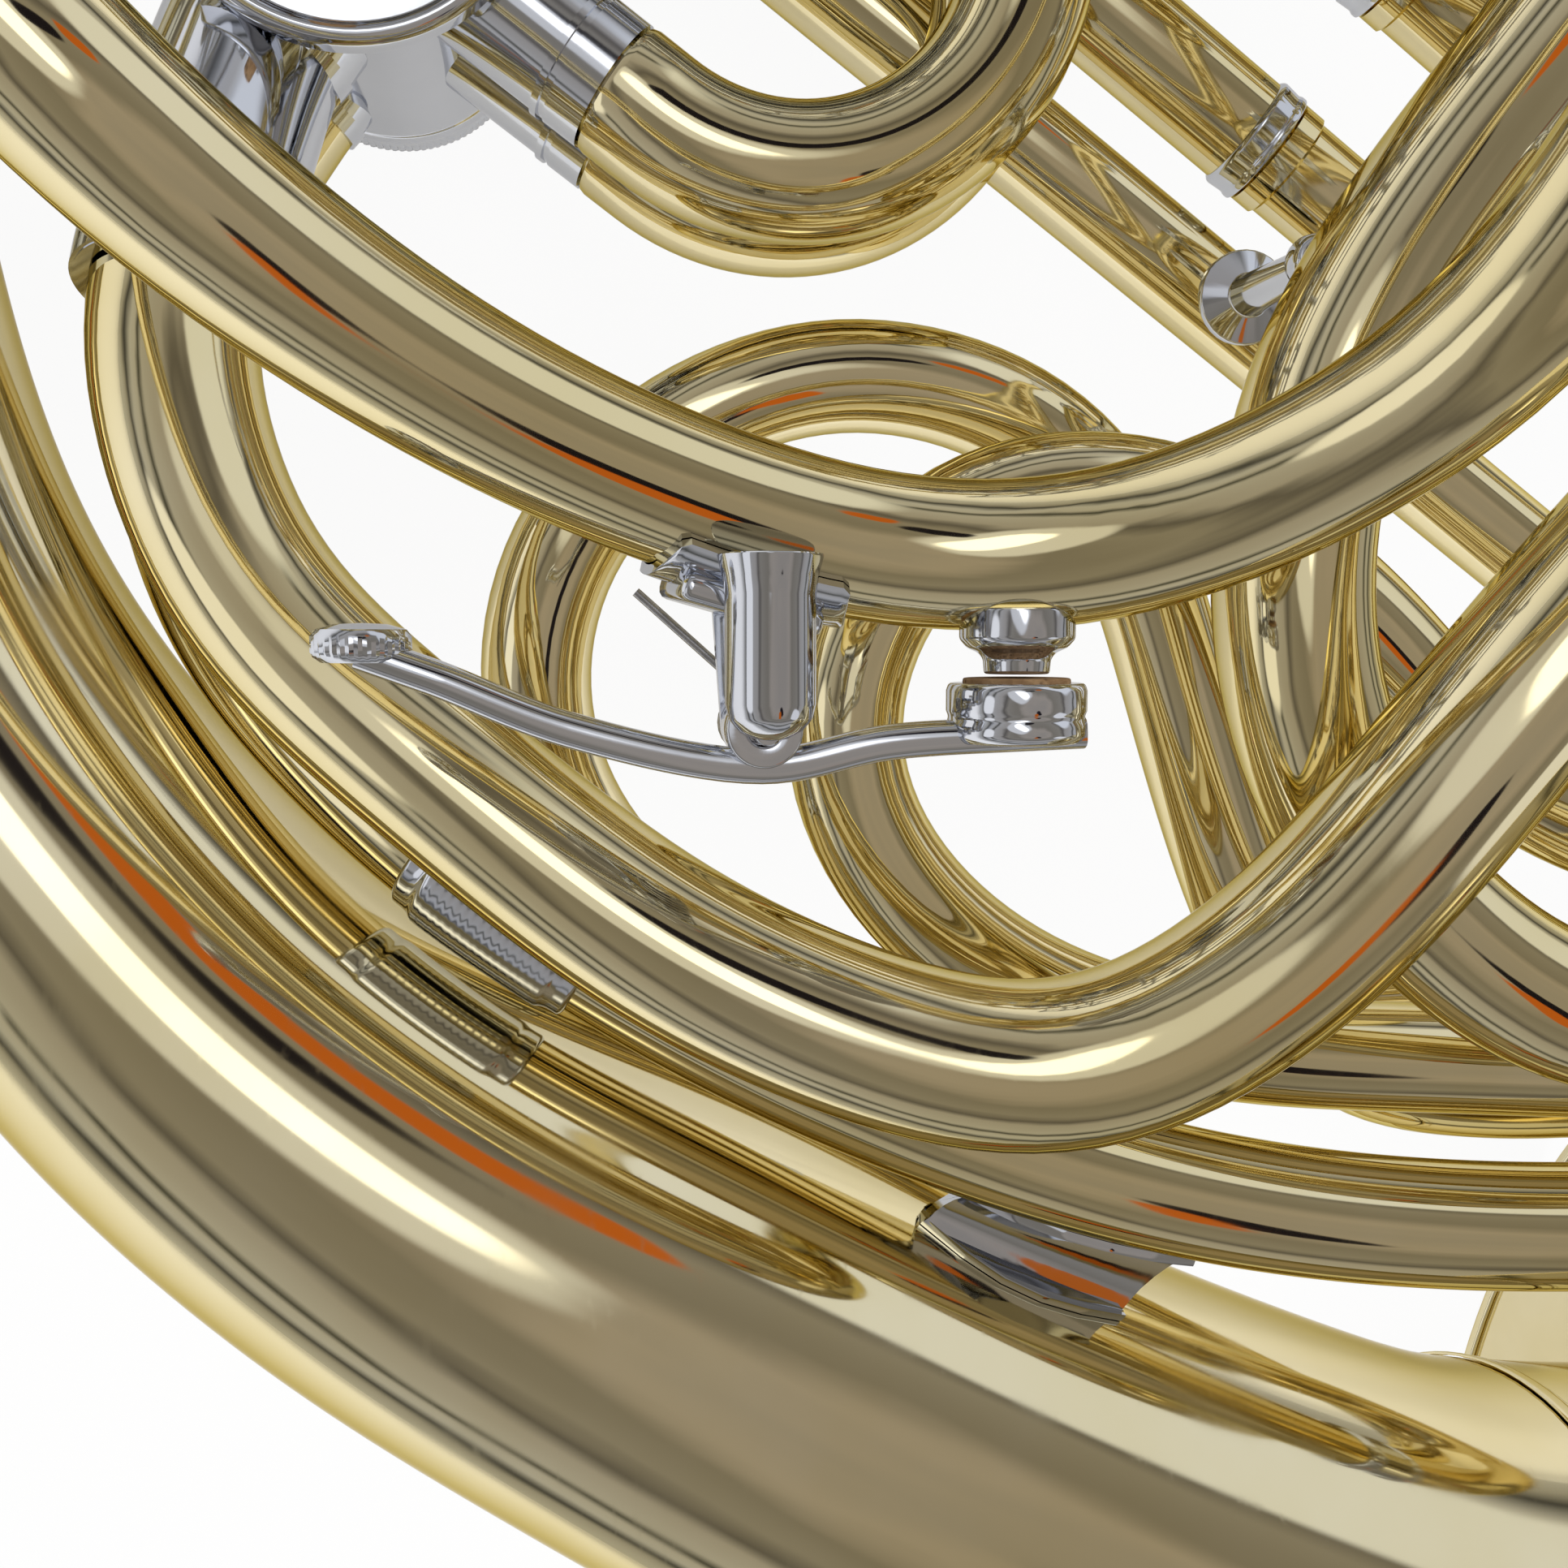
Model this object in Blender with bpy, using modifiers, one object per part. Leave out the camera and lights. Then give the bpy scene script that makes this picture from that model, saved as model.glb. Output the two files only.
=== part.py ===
"""Double french horn, lying on its bell rim and far branches with the lever side up.

Lengths are metres. Every piece is drawn in the horn's own frame: X towards the player's side, Y towards the
top bow, Z up on the lever side, with the valves' middle plane at Z = 0. An empty then lays the whole horn
down. Inside the valve section a place is given along the slides (s), along the valve row (r) and up (w).
"""
import math

import bmesh
import bpy
from mathutils import Matrix, Vector

# Fits between pieces
GAP = 0.0003
RUNNING_GAP = 0.0004
HOVER_GAP = 0.0005

# How finely round shapes are divided
TUBE_SIDES = 10
ROD_SIDES = 6
BORE_SIDES = 8
CASING_SIDES = 16
TAIL_SIDES = 16
BELL_SIDES = 32
BEND_STEP = math.radians(20.0)
BOW_STEPS = 7
LONGEST_STEP = 0.050
DENSE_STEPS = 24

# Soldered rings, struts and stays on tubes
COLLAR_THICKNESS = 0.0008
COLLAR_EDGE = 0.0003
SOLE_THICKNESS = 0.0012
SOLDER_DEPTH = 0.0018
STAY_RADIUS = 0.0017

# The leaf shaped brace: its length, its web and edges, and half its width at stations along it
LEAF_LENGTH = 0.0280
LEAF_WEB = 0.0016
LEAF_EDGE = 0.0010
LEAF_WIDTHS = (0.0011, 0.0032, 0.0045, 0.0048, 0.0042, 0.0030)

# How the horn lies, turned about its X axis and then about its Y axis
LAY_ROLL = math.radians(-11.81)
LAY_PITCH = math.radians(-16.84)

# Tube sizes, as outside radii
LEADPIPE_RADIUS = 0.0062
LEADPIPE_SLIDE_RADIUS = 0.0058
LEADPIPE_TIP_RADIUS = 0.0045
BRANCH_RADIUS = 0.0083
BRANCH_SLEEVE_RADIUS = 0.0095
LOWER_BRANCH_RADIUS = 0.0075
LOOP_RADIUS = 0.0065
SIDE_BOW_RADIUS = 0.0080
LINK_RADIUS = 0.0064
SLIDE_LEG_RADIUS = 0.0056
SLIDE_BOW_RADIUS = 0.0066
SLIDE_SLEEVE_RADIUS = 0.0069
SLEEVE_RING_RADIUS = 0.0074
SLEEVE_RING_LENGTH = 0.0040
CROOK_LEG_RADIUS = 0.0059
CROOK_BOW_RADIUS = 0.0075
CROOK_SLEEVE_RADIUS = 0.0072
CROOK_RING_RADIUS = 0.0075
VALVE_INLET_RADIUS = 0.0055

# Valve row
ROW_ANGLE = math.radians(54.0)
CHANGE_VALVE_PLACE = Vector((-0.105, 0.023, 0.0))
CHANGE_VALVE_SPACING = 0.086
FINGER_VALVE_SPACING = 0.046
CASING_RADIUS = 0.0162
CASING_WALL = 0.0013
CASING_TOP = 0.0210
CASING_LOW = -0.0246
STUB_REACH = 0.0168
SUNK_REACH = 0.0120
PORT_REACH = STUB_REACH + GAP
PORT_RIM = 0.0002
UPPER_PORT = 0.0090
LOWER_PORT = -0.0170
BRANCH_PORT = 0.0100
LOWER_BRANCH_PORT = -0.0100
CHANGE_LOWER_PORT = -0.0115
CHANGE_CASING_LOW = -0.0187
CHANGE_PLATE_RADIUS = 0.0198
CHANGE_CAP_RADIUS = 0.0164
ROTOR_PLAY = 0.0004
SHAFT_RADIUS = 0.0025
PASSAGE_RADIUS = 0.0048
PASSAGE_OFFSET = 0.0085
PLATE_RADIUS = 0.0168
PLATE_RISE = 0.0026
PLATE_LAP = 0.0006
CAP_RADIUS = 0.0172
CAP_DEPTH = 0.0050

# Slides, along the slide direction from the valve row
SLIDE_HALF_SPAN = 0.0150
F_SLIDE_SPAN = 0.0300
F_OPEN = (0.076, 0.070, 0.100)
F_TANGENT = (0.096, 0.084, 0.128)
F_DEPTH = (0.036, 0.032, 0.048)
B_OPEN = (0.055, 0.050, 0.058)
B_TANGENT = (0.064, 0.056, 0.066)
B_DEPTH = (0.032, 0.027, 0.035)
PORT_BEND = 0.0085
LINK_REACH = 0.0240
LINK_BEND = 0.0120
F_STAY = 0.0355
B_STAY = 0.0440
MAIN_STAY = 0.0600

FEED_ROW = 0.036
MAIN_LAYER = 0.036
MAIN_SPAN = 0.035
MAIN_START = 0.0185
MAIN_OPEN = 0.092
MAIN_TANGENT = 0.0985
MAIN_DEPTH = 0.041
INLET_BEND = 0.0120

CROOK_LOWER_ROW = 0.0
CROOK_UPPER_ROW = 0.0520
CROOK_OPEN = 0.0330
CROOK_TANGENT = 0.0385
CROOK_DEPTH = 0.0115
CROOK_BEND = 0.0125
CROOK_LAYERS = (0.0132, -0.0022)
CROOK_UPPER_ANGLE = math.radians(70.0)
CROOK_UPPER_CORNER = 0.0235

# Bell
BELL_MOUTH_RADIUS = 0.1550
BELL_THROAT_RADIUS = 0.0380
BELL_FLARE_LENGTH = 0.1350
BELL_WALL = 0.0010
RIM_WIRE_RADIUS = 0.0018
FLARE_START = Vector((0.038, -0.196, -0.004))
FLARE_AXIS = Vector((0.9415, -0.3125, -0.1260)).normalized()
FLARE_RINGS = 7
TAIL_SOLID_LENGTH = 0.62

# Levers
AXLE_S = -0.034
AXLE_W = 0.058
AXLE_RADIUS = 0.0020
HUB_RADIUS = 0.0036
DRIVE_W = 0.0305
DRIVE_SIDE = 0.0082
LINK_SIDE = 0.0043
PIN_RADIUS = 0.0012
EYE_RADIUS = 0.0034
ARM_RADIUS = 0.0019
FINGER_REACH = 0.075
THUMB_REACH = 0.050
PADDLE_SIZE = (0.026, 0.016, 0.0024)
STOP_RADIUS = 0.0055
STOP_PLATE_RADIUS = 0.0075
STOP_PLATE_LOW = 0.0254
STOP_PLATE_THICK = 0.0020
STOP_POST_TOP = 0.0293
STOP_TAB_REACH = 0.0108
CORK_RADIUS = 0.0018
CORK_RING = 0.0100
CORK_ANGLE = math.radians(24.0)
POST_WIDTH = 0.0040
POST_RADIUS = 0.0042
POST_ROWS = (-0.012, 0.0205, 0.086, 0.120, 0.14575, 0.198)
LEG_ROWS = (0.155, 0.109, 0.043)
HUBS = ((0.1485, 0.1900, 0.1510), (0.1225, 0.1430, 0.1290), (0.0885, 0.1120, 0.1085), (-0.0095, 0.0120, 0.0000))
BARRELS = ((0.1905, 0.1965), (0.1435, 0.1480), (0.1125, 0.1185), (0.0125, 0.0190))
BRACKET_S = -0.042
BRACKET_W = 0.046
BARREL_RADIUS = 0.0048

# Water key
KEY_PIVOT = Vector((-0.068, -0.0625, 0.066))
KEY_CUP = Vector((-0.0475, -0.0615, 0.066))
KEY_TOUCH = Vector((-0.0985, -0.0565, 0.066))
KEY_CUP_RADIUS = 0.0056
KEY_PIN_RADIUS = 0.0011
KEY_POST_RADIUS = 0.0032
KEY_POST_SIDE = 0.0064
KEY_BASE_WIDTH = 0.0140
KEY_BASE_SHIFT = 0.0024
NIPPLE_RISE = 0.0030

ROW = Vector((math.cos(ROW_ANGLE), math.sin(ROW_ANGLE), 0.0))
SLIDE = Vector((math.sin(ROW_ANGLE), -math.cos(ROW_ANGLE), 0.0))
UP = Vector((0.0, 0.0, 1.0))
VALVE_ROWS = (
    CHANGE_VALVE_SPACING + 2.0 * FINGER_VALVE_SPACING,
    CHANGE_VALVE_SPACING + FINGER_VALVE_SPACING,
    CHANGE_VALVE_SPACING,
    0.0,
)

for leftover in list(bpy.data.objects):
    bpy.data.objects.remove(leftover, do_unlink=True)
horn = bpy.data.collections.new("double_french_horn")
bpy.context.scene.collection.children.link(horn)
lay = bpy.data.objects.new("horn_lay", None)
horn.objects.link(lay)


def metal(name, colour, roughness):
    """A plain metal finish."""
    finish = bpy.data.materials.new(name)
    finish.use_nodes = True
    shader = finish.node_tree.nodes["Principled BSDF"]
    shader.inputs["Base Color"].default_value = (*colour, 1.0)
    shader.inputs["Roughness"].default_value = roughness
    shader.inputs["Metallic"].default_value = 1.0
    return finish


BRASS = metal("lacquered_brass", (0.86, 0.70, 0.36), 0.12)
NICKEL = metal("nickel_silver", (0.74, 0.74, 0.75), 0.15)
STEEL = metal("spring_steel", (0.45, 0.45, 0.47), 0.30)
CORK = metal("cork", (0.55, 0.36, 0.20), 0.85)
CORK.node_tree.nodes["Principled BSDF"].inputs["Metallic"].default_value = 0.0


def at(s, r, w):
    """A place in the valve section."""
    return CHANGE_VALVE_PLACE + SLIDE * s + ROW * r + UP * w


def polar(row, angle, reach, w):
    """A place around a valve: the angle turns from the slide direction towards the row direction."""
    return at(reach * math.cos(angle), row + reach * math.sin(angle), w)


def around(radius, sides):
    """The corner radius of a bore with this many sides that clears a round piece of this radius."""
    return radius / math.cos(math.pi / sides)


def new_object(name, mesh):
    """An object in the horn's collection."""
    obj = bpy.data.objects.new(name, mesh)
    horn.objects.link(obj)
    return obj


def from_bmesh(name, bm):
    """A mesh object with its faces pointing out."""
    bmesh.ops.recalc_face_normals(bm, faces=bm.faces)
    mesh = bpy.data.meshes.new(name)
    bm.to_mesh(mesh)
    bm.free()
    return new_object(name, mesh)


def bake(obj, weld=0.0):
    """Turns an object with its modifiers, or a curve, into a plain closed mesh."""
    graph = bpy.context.evaluated_depsgraph_get()
    made = bpy.data.meshes.new_from_object(obj.evaluated_get(graph))
    bm = bmesh.new()
    bm.from_mesh(made)
    if weld:
        bmesh.ops.remove_doubles(bm, verts=bm.verts, dist=weld)
        bmesh.ops.recalc_face_normals(bm, faces=bm.faces)
    bm.to_mesh(made)
    bm.free()
    if obj.type == "MESH":
        obj.modifiers.clear()
        obj.data = made
        return obj
    fresh = new_object(obj.name + "_solid", made)
    bpy.data.objects.remove(obj)
    return fresh


def combine(base, tools, operation):
    """Joins the tools to the base, or cuts them out of it."""
    for tool in tools:
        step = base.modifiers.new(operation.lower(), "BOOLEAN")
        step.operation = operation
        step.solver = "EXACT"
        step.object = tool
    bake(base, weld=0.000002)
    for tool in tools:
        bpy.data.objects.remove(tool)
    return base


def fuse(*pieces):
    """One solid made of pieces that overlap."""
    return combine(pieces[0], pieces[1:], "UNION")


def cut(base, *cutters):
    """The base without the cutters."""
    return combine(base, cutters, "DIFFERENCE")


def place_on(obj, start, direction):
    """Moves an object drawn along +Z so that it starts at a point and runs along a direction."""
    turn = UP.rotation_difference(direction.normalized()).to_matrix().to_4x4()
    obj.data.transform(Matrix.Translation(start) @ turn)
    return obj


def cylinder(start, end, radius, sides=ROD_SIDES):
    """A round bar between two points."""
    span = end - start
    bm = bmesh.new()
    bmesh.ops.create_cone(bm, cap_ends=True, segments=sides, radius1=radius, radius2=radius, depth=span.length)
    bmesh.ops.translate(bm, verts=bm.verts, vec=UP * span.length / 2.0)
    return place_on(from_bmesh("bar", bm), start, span)


def block(centre, along, across, size):
    """A box whose first side follows along, its second across and its third the direction square to both."""
    bm = bmesh.new()
    bmesh.ops.create_cube(bm, size=1.0)
    bmesh.ops.scale(bm, verts=bm.verts, vec=size)
    first = along.normalized()
    third = first.cross(across).normalized()
    second = third.cross(first)
    turn = Matrix((first, second, third)).transposed().to_4x4()
    bmesh.ops.transform(bm, matrix=Matrix.Translation(centre) @ turn, verts=bm.verts)
    return from_bmesh("block", bm)


def turned(profile, start, direction, sides, closed=False):
    """A turned piece: radius and height pairs, as a ring when closed and as a solid on the axis when not."""
    mesh = bpy.data.meshes.new("turned")
    points = [(radius, 0.0, height) for radius, height in profile]
    edges = [(index, index + 1) for index in range(len(points) - 1)]
    if closed:
        edges.append((len(points) - 1, 0))
    mesh.from_pydata(points, edges, [])
    obj = new_object("turned", mesh)
    screw = obj.modifiers.new("turn", "SCREW")
    screw.steps = sides
    screw.render_steps = sides
    screw.use_merge_vertices = True
    screw.merge_threshold = 0.00001
    bake(obj, weld=0.00001)
    return place_on(obj, start, direction)


def spline_point(before, first, second, after, share):
    """A point between first and second on a curve through four points, which may be unevenly spaced."""
    knots = [0.0]
    for near, far in ((before, first), (first, second), (second, after)):
        knots.append(knots[-1] + max((far - near).length, 1e-9) ** 0.5)
    place = knots[1] + share * (knots[2] - knots[1])

    def blend(low, high, start, end):
        part = (place - start) / (end - start)
        return low * (1.0 - part) + high * part

    a = blend(before, first, knots[0], knots[1])
    b = blend(first, second, knots[1], knots[2])
    c = blend(second, after, knots[2], knots[3])
    d = blend(a, b, knots[0], knots[2])
    e = blend(b, c, knots[1], knots[3])
    return blend(d, e, knots[1], knots[2])


def run(points, radii):
    """A smooth run of tube: pairs of point and radius along a curve through the given points."""
    if not isinstance(radii, (list, tuple)):
        radii = [radii] * len(points)
    stops = [Vector((*point, radius)) for point, radius in zip(points, radii)]
    padded = [stops[0] * 2.0 - stops[1]] + stops + [stops[-1] * 2.0 - stops[-2]]
    dense = []
    for index in range(len(stops) - 1):
        for step in range(DENSE_STEPS):
            dense.append(spline_point(*padded[index:index + 4], step / DENSE_STEPS))
    dense.append(stops[-1])
    first = DENSE_STEPS
    last = len(dense) - 1 - DENSE_STEPS
    kept = [dense[0], dense[first]]
    heading = (dense[first + 1] - dense[first]).xyz
    for here, following in zip(dense[first + 1:last], dense[first + 2:]):
        way = (following - here).xyz
        far = (here - kept[-1]).xyz.length
        if way.angle(heading) >= BEND_STEP or far >= LONGEST_STEP:
            kept.append(here)
            heading = way
    if (dense[last] - kept[-1]).xyz.length < 0.003 and len(kept) > 2:
        kept.pop()
    kept.append(dense[last])
    kept.append(dense[-1])
    return [(stop.xyz, stop.w) for stop in kept]


def bent(points, bend, radius):
    """A run of tube along straight lines with round bends between them."""
    stops = [(points[0], radius)]
    for before, corner, after in zip(points, points[1:], points[2:]):
        arriving = (corner - before).normalized()
        leaving = (after - corner).normalized()
        angle = arriving.angle(leaving)
        start = corner - arriving * bend * math.tan(angle / 2.0)
        centre = corner + (leaving - arriving).normalized() * bend / math.cos(angle / 2.0)
        steps = max(2, round(angle / math.radians(28.0)))
        for step in range(steps + 1):
            turn = angle * step / steps
            spot = centre + (start - centre) * math.cos(turn) + arriving * bend * math.sin(turn)
            stops.append((spot, radius))
    stops.append((points[-1], radius))
    return stops


def tube(stops, sides=TUBE_SIDES):
    """A round solid along pairs of point and radius."""
    curve = bpy.data.curves.new("tube", "CURVE")
    curve.dimensions = "3D"
    curve.bevel_depth = 1.0
    curve.bevel_resolution = (sides - 4) // 2
    curve.use_fill_caps = True
    line = curve.splines.new("POLY")
    line.points.add(len(stops) - 1)
    for spot, (point, radius) in zip(line.points, stops):
        spot.co = (*point, 1.0)
        spot.radius = radius
    return bake(new_object("tube", curve), weld=0.000001)


def rod(points, radius, sides=ROD_SIDES):
    """A bar of one thickness through points."""
    return tube([(point, radius) for point in points], sides)


def nearest(stops, hint):
    """The point of a run that is nearest to a hint, with its radius and how far along it lies."""
    best = None
    along = 0.0
    for (start, first), (end, second) in zip(stops, stops[1:]):
        span = end - start
        share = min(1.0, max(0.0, (hint - start).dot(span) / span.length_squared))
        spot = start + span * share
        gap = (hint - spot).length
        if best is None or gap < best[0]:
            best = (gap, spot, first + (second - first) * share, along + span.length * share)
        along += span.length
    return best[1], best[2], best[3]


def stretch(stops, low, high):
    """The part of a run between two distances along it."""
    kept = []
    along = 0.0
    for (start, first), (end, second) in zip(stops, stops[1:]):
        length = (end - start).length
        for wanted in (low, high):
            if along <= wanted < along + length:
                share = (wanted - along) / length
                kept.append((start + (end - start) * share, first + (second - first) * share))
        if low < along + length < high:
            kept.append((end, second))
        along += length
    return kept


def split(stops, hints):
    """Parts a run in the middle of the straight piece nearest to each hint, with a gap at each joint."""
    lengths = [(end - start).length for (start, _), (end, _) in zip(stops, stops[1:])]
    joints = []
    for hint in hints:
        gaps = []
        for (start, _), (end, _) in zip(stops, stops[1:]):
            gaps.append(((start + end) / 2.0 - Vector(hint)).length)
        segment = gaps.index(min(gaps))
        joints.append(sum(lengths[:segment]) + lengths[segment] / 2.0)
    edges = [-GAP / 2.0] + joints + [sum(lengths) + GAP]
    return [stretch(stops, low + GAP / 2.0, high - GAP / 2.0) for low, high in zip(edges, edges[1:])]


def collar(stops, hint, length):
    """The same run with a soldered ring round it, drawn as a thicker stretch."""
    middle = nearest(stops, Vector(hint))[2]
    low = middle - length / 2.0
    high = middle + length / 2.0
    ring = stretch(stops, low + COLLAR_EDGE, high - COLLAR_EDGE)
    thicker = [(point, radius + COLLAR_THICKNESS) for point, radius in ring]
    return stretch(stops, 0.0, low) + thicker + stretch(stops, high, 99.0)


def ferrule(stops, hint, length, thickness=COLLAR_THICKNESS):
    """A ring round a run of tube, as a piece of its own."""
    middle = nearest(stops, hint)[2]
    ring = stretch(stops, middle - length / 2.0, middle + length / 2.0)
    room = stretch(stops, middle - length / 2.0 - 0.001, middle + length / 2.0 + 0.001)
    inner = [(point, around(radius + GAP, TUBE_SIDES)) for point, radius in room]
    outer = [(point, around(radius + GAP, TUBE_SIDES) + thickness) for point, radius in ring]
    return cut(tube(outer), tube(inner))


def brace(first, first_hint, second, standoff=HOVER_GAP, radius=0.0018, foot=0.0036):
    """A strut between two runs, square to both, with a round foot on each. It is sunk into the first run
    when the standoff is below zero."""
    start, start_radius, _ = nearest(first, Vector(first_hint))
    for _ in range(12):
        end, end_radius, _ = nearest(second, start)
        start, start_radius, _ = nearest(first, end)
    way = (end - start).normalized()
    low = start + way * (start_radius + standoff)
    low_top = start + way * (start_radius + HOVER_GAP + SOLE_THICKNESS)
    high = end - way * (end_radius + HOVER_GAP)
    sole = way * SOLE_THICKNESS
    return fuse(
        cylinder(low + sole * 0.5, high - sole * 0.5, radius),
        cylinder(low, low_top, foot, TUBE_SIDES),
        cylinder(high - sole, high, foot, TUBE_SIDES),
    )


def leaf_brace(first, first_hint, second):
    """A leaf shaped bridge along the gap between two runs: a web with a flange that hovers over each run."""
    centre, _, place = nearest(first, Vector(first_hint))
    beside = stretch(first, place - LEAF_LENGTH / 2.0, place + LEAF_LENGTH / 2.0)
    heading = (beside[-1][0] - beside[0][0]).normalized()
    bm = bmesh.new()
    rings = []
    for index, flange in enumerate(LEAF_WIDTHS):
        share = index / (len(LEAF_WIDTHS) - 1) - 0.5
        spot, radius, _ = nearest(first, centre + heading * LEAF_LENGTH * share)
        other, other_radius, _ = nearest(second, spot)
        way = (other - spot).normalized()
        side = way.cross(heading).normalized()
        slant = math.sqrt(1.0 - way.dot(heading) ** 2.0)
        low = spot + way * (radius + HOVER_GAP) / slant
        high = other - way * (other_radius + HOVER_GAP)
        web = side * LEAF_WEB / 2.0
        edge = side * flange
        inner_low = low + way * LEAF_EDGE
        inner_high = high - way * LEAF_EDGE
        corners = [
            low - edge, low + edge, inner_low + edge, inner_low + web, inner_high + web, inner_high + edge,
            high + edge, high - edge, inner_high - edge, inner_high - web, inner_low - web, inner_low - edge,
        ]
        rings.append([bm.verts.new(corner) for corner in corners])
    for near, far in zip(rings, rings[1:]):
        for index in range(len(near)):
            after = (index + 1) % len(near)
            bm.faces.new((near[index], near[after], far[after], far[index]))
    bm.faces.new(rings[0])
    bm.faces.new(rings[-1])
    return from_bmesh("leaf", bm)


def node(name, finish, obj, pivot=None):
    """One named sub-part of the horn, with its origin on its joint when it moves."""
    mesh = obj.data
    mesh.name = name
    obj.name = name
    if pivot is not None:
        mesh.transform(Matrix.Translation(-pivot))
        obj.location = pivot
    mesh.materials.clear()
    mesh.materials.append(finish)
    mesh.shade_smooth()
    mesh.set_sharp_from_angle(angle=math.radians(35.0))
    obj.parent = lay
    return obj


# Routes of the long tubes, in the horn's frame
MAIN_LEG_ROW = VALVE_ROWS[0] + MAIN_SPAN
LEADPIPE = run(
    [
        (0.104, 0.145, 0.092), (0.093, 0.131, 0.093), (0.060, 0.095, 0.095), (0.025, 0.045, 0.095),
        (0.000, 0.000, 0.092), (-0.0165, -0.031, 0.088), (-0.022, -0.039, 0.080), (-0.0385, -0.048, 0.068),
        (-0.055, -0.049, 0.064), (-0.070, -0.0458, 0.0655), (-0.0884, -0.0387, 0.0710), (-0.1042, -0.0292, 0.0795),
        (-0.1128, -0.0216, 0.0840), (-0.1225, -0.0112, 0.0830), (-0.146, 0.012, 0.066), (-0.164, 0.036, 0.043),
        (-0.169, 0.070, 0.032), (-0.160, 0.116, 0.026), (-0.132, 0.162, 0.025), (-0.090, 0.197, 0.025),
        (-0.045, 0.218, 0.027), (-0.008, 0.215, 0.033), at(0.004, MAIN_LEG_ROW, MAIN_LAYER),
        at(MAIN_START - GAP, MAIN_LEG_ROW, MAIN_LAYER),
    ],
    [LEADPIPE_TIP_RADIUS] * 2 + [0.0050, 0.0053, 0.0056, 0.0058, 0.0058] + [0.0060] * 4
    + [LEADPIPE_RADIUS] * 11 + [LEADPIPE_SLIDE_RADIUS] * 2,
)
DOWN_THE_ROW = math.radians(-90.0)
BELL_LINE = run(
    [
        polar(0.0, DOWN_THE_ROW, PORT_REACH, BRANCH_PORT), polar(0.0, DOWN_THE_ROW, PORT_REACH + 0.003, BRANCH_PORT),
        (-0.1195, -0.0085, 0.0180), (-0.1225, -0.025, 0.0250), (-0.1155, -0.049, 0.030), (-0.095, -0.069, 0.036),
        (-0.0685, -0.088, 0.042), (-0.0376, -0.097, 0.046), (-0.0184, -0.087, 0.050), (0.005, -0.056, 0.057),
        (0.045, -0.010, 0.058), (0.080, 0.030, 0.040), (0.108, 0.070, 0.016), (0.117, 0.105, 0.006),
        (0.113, 0.130, 0.004), (0.1055, 0.146, 0.003), (0.094, 0.163, 0.003), (0.066, 0.189, 0.003),
        (0.030, 0.204, 0.003), (-0.020, 0.206, 0.003), (-0.072, 0.188, 0.003), (-0.120, 0.148, 0.003),
        (-0.151, 0.098, 0.002), (-0.168, 0.045, 0.001), (-0.169, -0.006, 0.000), (-0.158, -0.053, 0.000),
        (-0.133, -0.093, 0.000), (-0.107, -0.1175, 0.000), (-0.070, -0.141, 0.000), (-0.017, -0.171, -0.001),
        FLARE_START - FLARE_AXIS * 0.012, FLARE_START - FLARE_AXIS * GAP,
    ],
    [BRANCH_RADIUS - 0.0002] * 5 + [BRANCH_RADIUS] * 9
    + [
        0.0084, 0.0086, 0.0092, 0.0098, 0.0101, 0.0105, 0.0120, 0.0140, 0.0158, 0.0178, 0.0197, 0.0216, 0.0245,
        0.0272, 0.0303, 0.0336, 0.0368, BELL_THROAT_RADIUS,
    ],
)
BRANCH_SLEEVE, BRANCH, BELL_TAIL = split(BELL_LINE, [(-0.1222, -0.0215, 0.0237), (0.109, 0.138, 0.0035)])
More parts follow.
